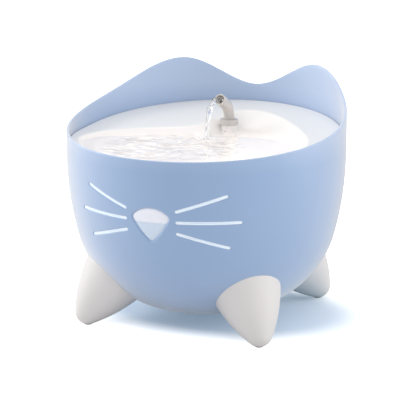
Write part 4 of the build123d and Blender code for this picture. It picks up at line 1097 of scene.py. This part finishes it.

# %% [markdown]
# ## Putting finishes on
# Solids that stay visible take the finish of their slot. New skins hide the solid they stand for and ride on
# its body.

# %% Finishes and bodies
for part in frame["record"]["subparts"]:
    shape = frame["nodes"][part["node"]].data
    shape.materials.clear()
    shape.materials.append(FINISH[part["material_slot"]])


def dress(thing, finish, body, slot, *nodes):
    """Finish, body and the solids that a skin stands for; the slot is not used."""
    thing.data.materials.clear()
    thing.data.materials.append(finish)
    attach(thing, body)
    if nodes:
        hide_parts(*nodes)
    print(thing.name, "rides on", body)


dress(bowl, FINISH["blue_abs"], "reservoir", "blue_abs", "reservoir_bowl")
for word, thing in windows.items():
    dress(thing, FINISH["clear_plastic"], "reservoir", "clear_plastic", f"whisker_window_{word}")
dress(lens, lens_finish, "reservoir", "clear_plastic", "nose_lens")
for word, thing in feet.items():
    dress(thing, FINISH["foot_white"], "reservoir", "foot_white", f"foot_{word}")
dress(dish, FINISH["dish_white"], "dish", "dish_white", "drinking_dish")
dress(collar, spout_finish, "collar", "clear_plastic", "spout_collar")
dress(spout, spout_finish, "spout", "clear_plastic", "spout_tube")
dress(pool, water, "dish", None)
dress(stream, falling, "spout", None)

# %% [markdown]
# ## Camera, floor and light
# The camera stands a little to the right of the nose and looks slightly down.

# %% Camera
AZIMUTH, ELEVATION = 22.7792, 13.2914
DISTANCE, LENS, ASIDE, AIM_Z = 1.23693, 136.932, -0.0051548, 0.0932671


def aimed(data, azimuth, elevation, distance, target):
    """Camera or lamp that faces a target, placed round it by angles from the nose and from the floor."""
    thing = bpy.data.objects.new(data.name, data)
    a, e = np.radians(azimuth), np.radians(elevation)
    way = Vector((np.sin(a) * np.cos(e), -np.cos(a) * np.cos(e), np.sin(e)))
    thing.location = Vector(target) + way * distance
    thing.rotation_mode = "QUATERNION"
    thing.rotation_quaternion = (-way).to_track_quat("-Z", "Y")
    bpy.context.scene.collection.objects.link(thing)
    return thing


right = Vector((np.cos(np.radians(AZIMUTH)), np.sin(np.radians(AZIMUTH)), 0))
middle = Vector((0, 0, AIM_Z)) + right * ASIDE
camera = aimed(bpy.data.cameras.new("camera"), AZIMUTH, ELEVATION, DISTANCE, middle)
camera.data.lens, camera.data.sensor_width = LENS, 36.0
camera.data.clip_start, camera.data.clip_end = 0.05, 30.0
bpy.context.scene.camera = camera
bpy.context.scene.view_settings.view_transform = "Standard"
print("camera at", [round(v, 3) for v in camera.location], "m")

# %% [markdown]
# The floor is plain and pale. Close to the feet its own glow is dimmed in a soft oval, a painted shadow, and
# what it throws back onto the bowl is a little blue there.

# %% Floor
FLOOR_HALF = 6.0
SHADE_X, SHADE_Y, SHADE_HALF_X, SHADE_HALF_Y = 0.008, 0.014, 0.145, 0.096
floor = bpy.data.objects.new("floor", bpy.data.meshes.new("floor"))
corners = [(x * FLOOR_HALF, y * FLOOR_HALF, 0) for x, y in ((-1, -1), (1, -1), (1, 1), (-1, 1))]
floor.data.from_pydata(corners, [], [(0, 1, 2, 3)])
bpy.context.scene.collection.objects.link(floor)
material, tree, place = blank("studio_floor")
oval = add(tree, "Mapping", {"Location": (-SHADE_X / SHADE_HALF_X, -SHADE_Y / SHADE_HALF_Y, 0),
                             "Scale": (1 / SHADE_HALF_X, 1 / SHADE_HALF_Y, 0)}, {"Vector": place})
far = add(tree, "VectorMath", {"operation": "LENGTH"}, {0: oval.outputs["Vector"]})
open_floor = add(tree, "MapRange", {"interpolation_type": "SMOOTHSTEP", "From Min": 0.60, "From Max": 1.06},
                 {"Value": far.outputs["Value"]}).outputs["Result"]
# painted shadow: the floor's own glow is dark blue-grey inside the oval by the feet and white outside it
own = add(tree, "Mix", {"data_type": "RGBA", "A": (0.15, 0.20, 0.25, 1), "B": (1, 1, 1, 1)},
          {"Factor": open_floor})
thrown = add(tree, "Mix", {"data_type": "RGBA", "A": (0.56, 0.76, 0.88, 1), "B": (0.85, 0.85, 0.85, 1)},
             {"Factor": open_floor})
lit = add(tree, "BsdfDiffuse", {"Color": (0.66, 0.69, 0.73, 1)})
glow = add(tree, "Emission", {"Strength": 1.0}, {"Color": own.outputs["Result"]})
seen = add(tree, "AddShader", None, {0: lit.outputs["BSDF"], 1: glow.outputs["Emission"]})
plain = add(tree, "BsdfDiffuse", None, {"Color": thrown.outputs["Result"]})
path = add(tree, "LightPath")
pick = add(tree, "MixShader", None, {"Fac": path.outputs["Is Camera Ray"], 1: plain.outputs["BSDF"],
                                     2: seen.outputs["Shader"]})
add(tree, "OutputMaterial", None, {"Surface": pick.outputs["Shader"]})
floor.data.materials.append(material)
print("floor", 2 * FLOOR_HALF, "m wide")

# %% [markdown]
# The surroundings are white to the eye and in clear and glossy pieces, and softer as light.

# %% Backdrop
world = bpy.data.worlds.new("studio")
world.use_nodes = True
tree = world.node_tree
tree.nodes.clear()
soft = add(tree, "Background", {"Color": (0.99, 0.99, 1.0, 1), "Strength": 0.62})
white = add(tree, "Background", {"Color": (1, 1, 1, 1), "Strength": 1.0})
path = add(tree, "LightPath")
both = add(tree, "Math", {"operation": "MAXIMUM"}, {0: path.outputs["Is Camera Ray"],
                                                   1: path.outputs["Is Transmission Ray"]})
every = add(tree, "Math", {"operation": "MAXIMUM"}, {0: both.outputs["Value"],
                                                    1: path.outputs["Is Glossy Ray"]})
pick = add(tree, "MixShader", None, {"Fac": every.outputs["Value"], 1: soft.outputs["Background"],
                                     2: white.outputs["Background"]})
add(tree, "OutputWorld", None, {"Surface": pick.outputs["Shader"]})
bpy.context.scene.world = world
print("world", world.name, "nodes", len(tree.nodes))

# %% [markdown]
# Soft light comes from both sides and above, so that the bowl is darkest in front and brightens to its edges.

# %% Lamps
LAMP_AIM_Z = 0.1
LAMPS = (("left_key", -85, 24, 1.5, 1.1, 13.0), ("right_side", 104, 14, 1.5, 1.0, 8.5),
         ("front_high", 10, 50, 1.7, 1.2, 5.0), ("overhead", 200, 72, 1.7, 1.3, 3.5))
for name, azimuth, elevation, distance, size, watts in LAMPS:
    data = bpy.data.lights.new(name, "AREA")
    data.shape, data.size, data.energy = "DISK", size, watts
    aimed(data, azimuth, elevation, distance, (0, 0, LAMP_AIM_Z))
print("lamps", len(LAMPS))
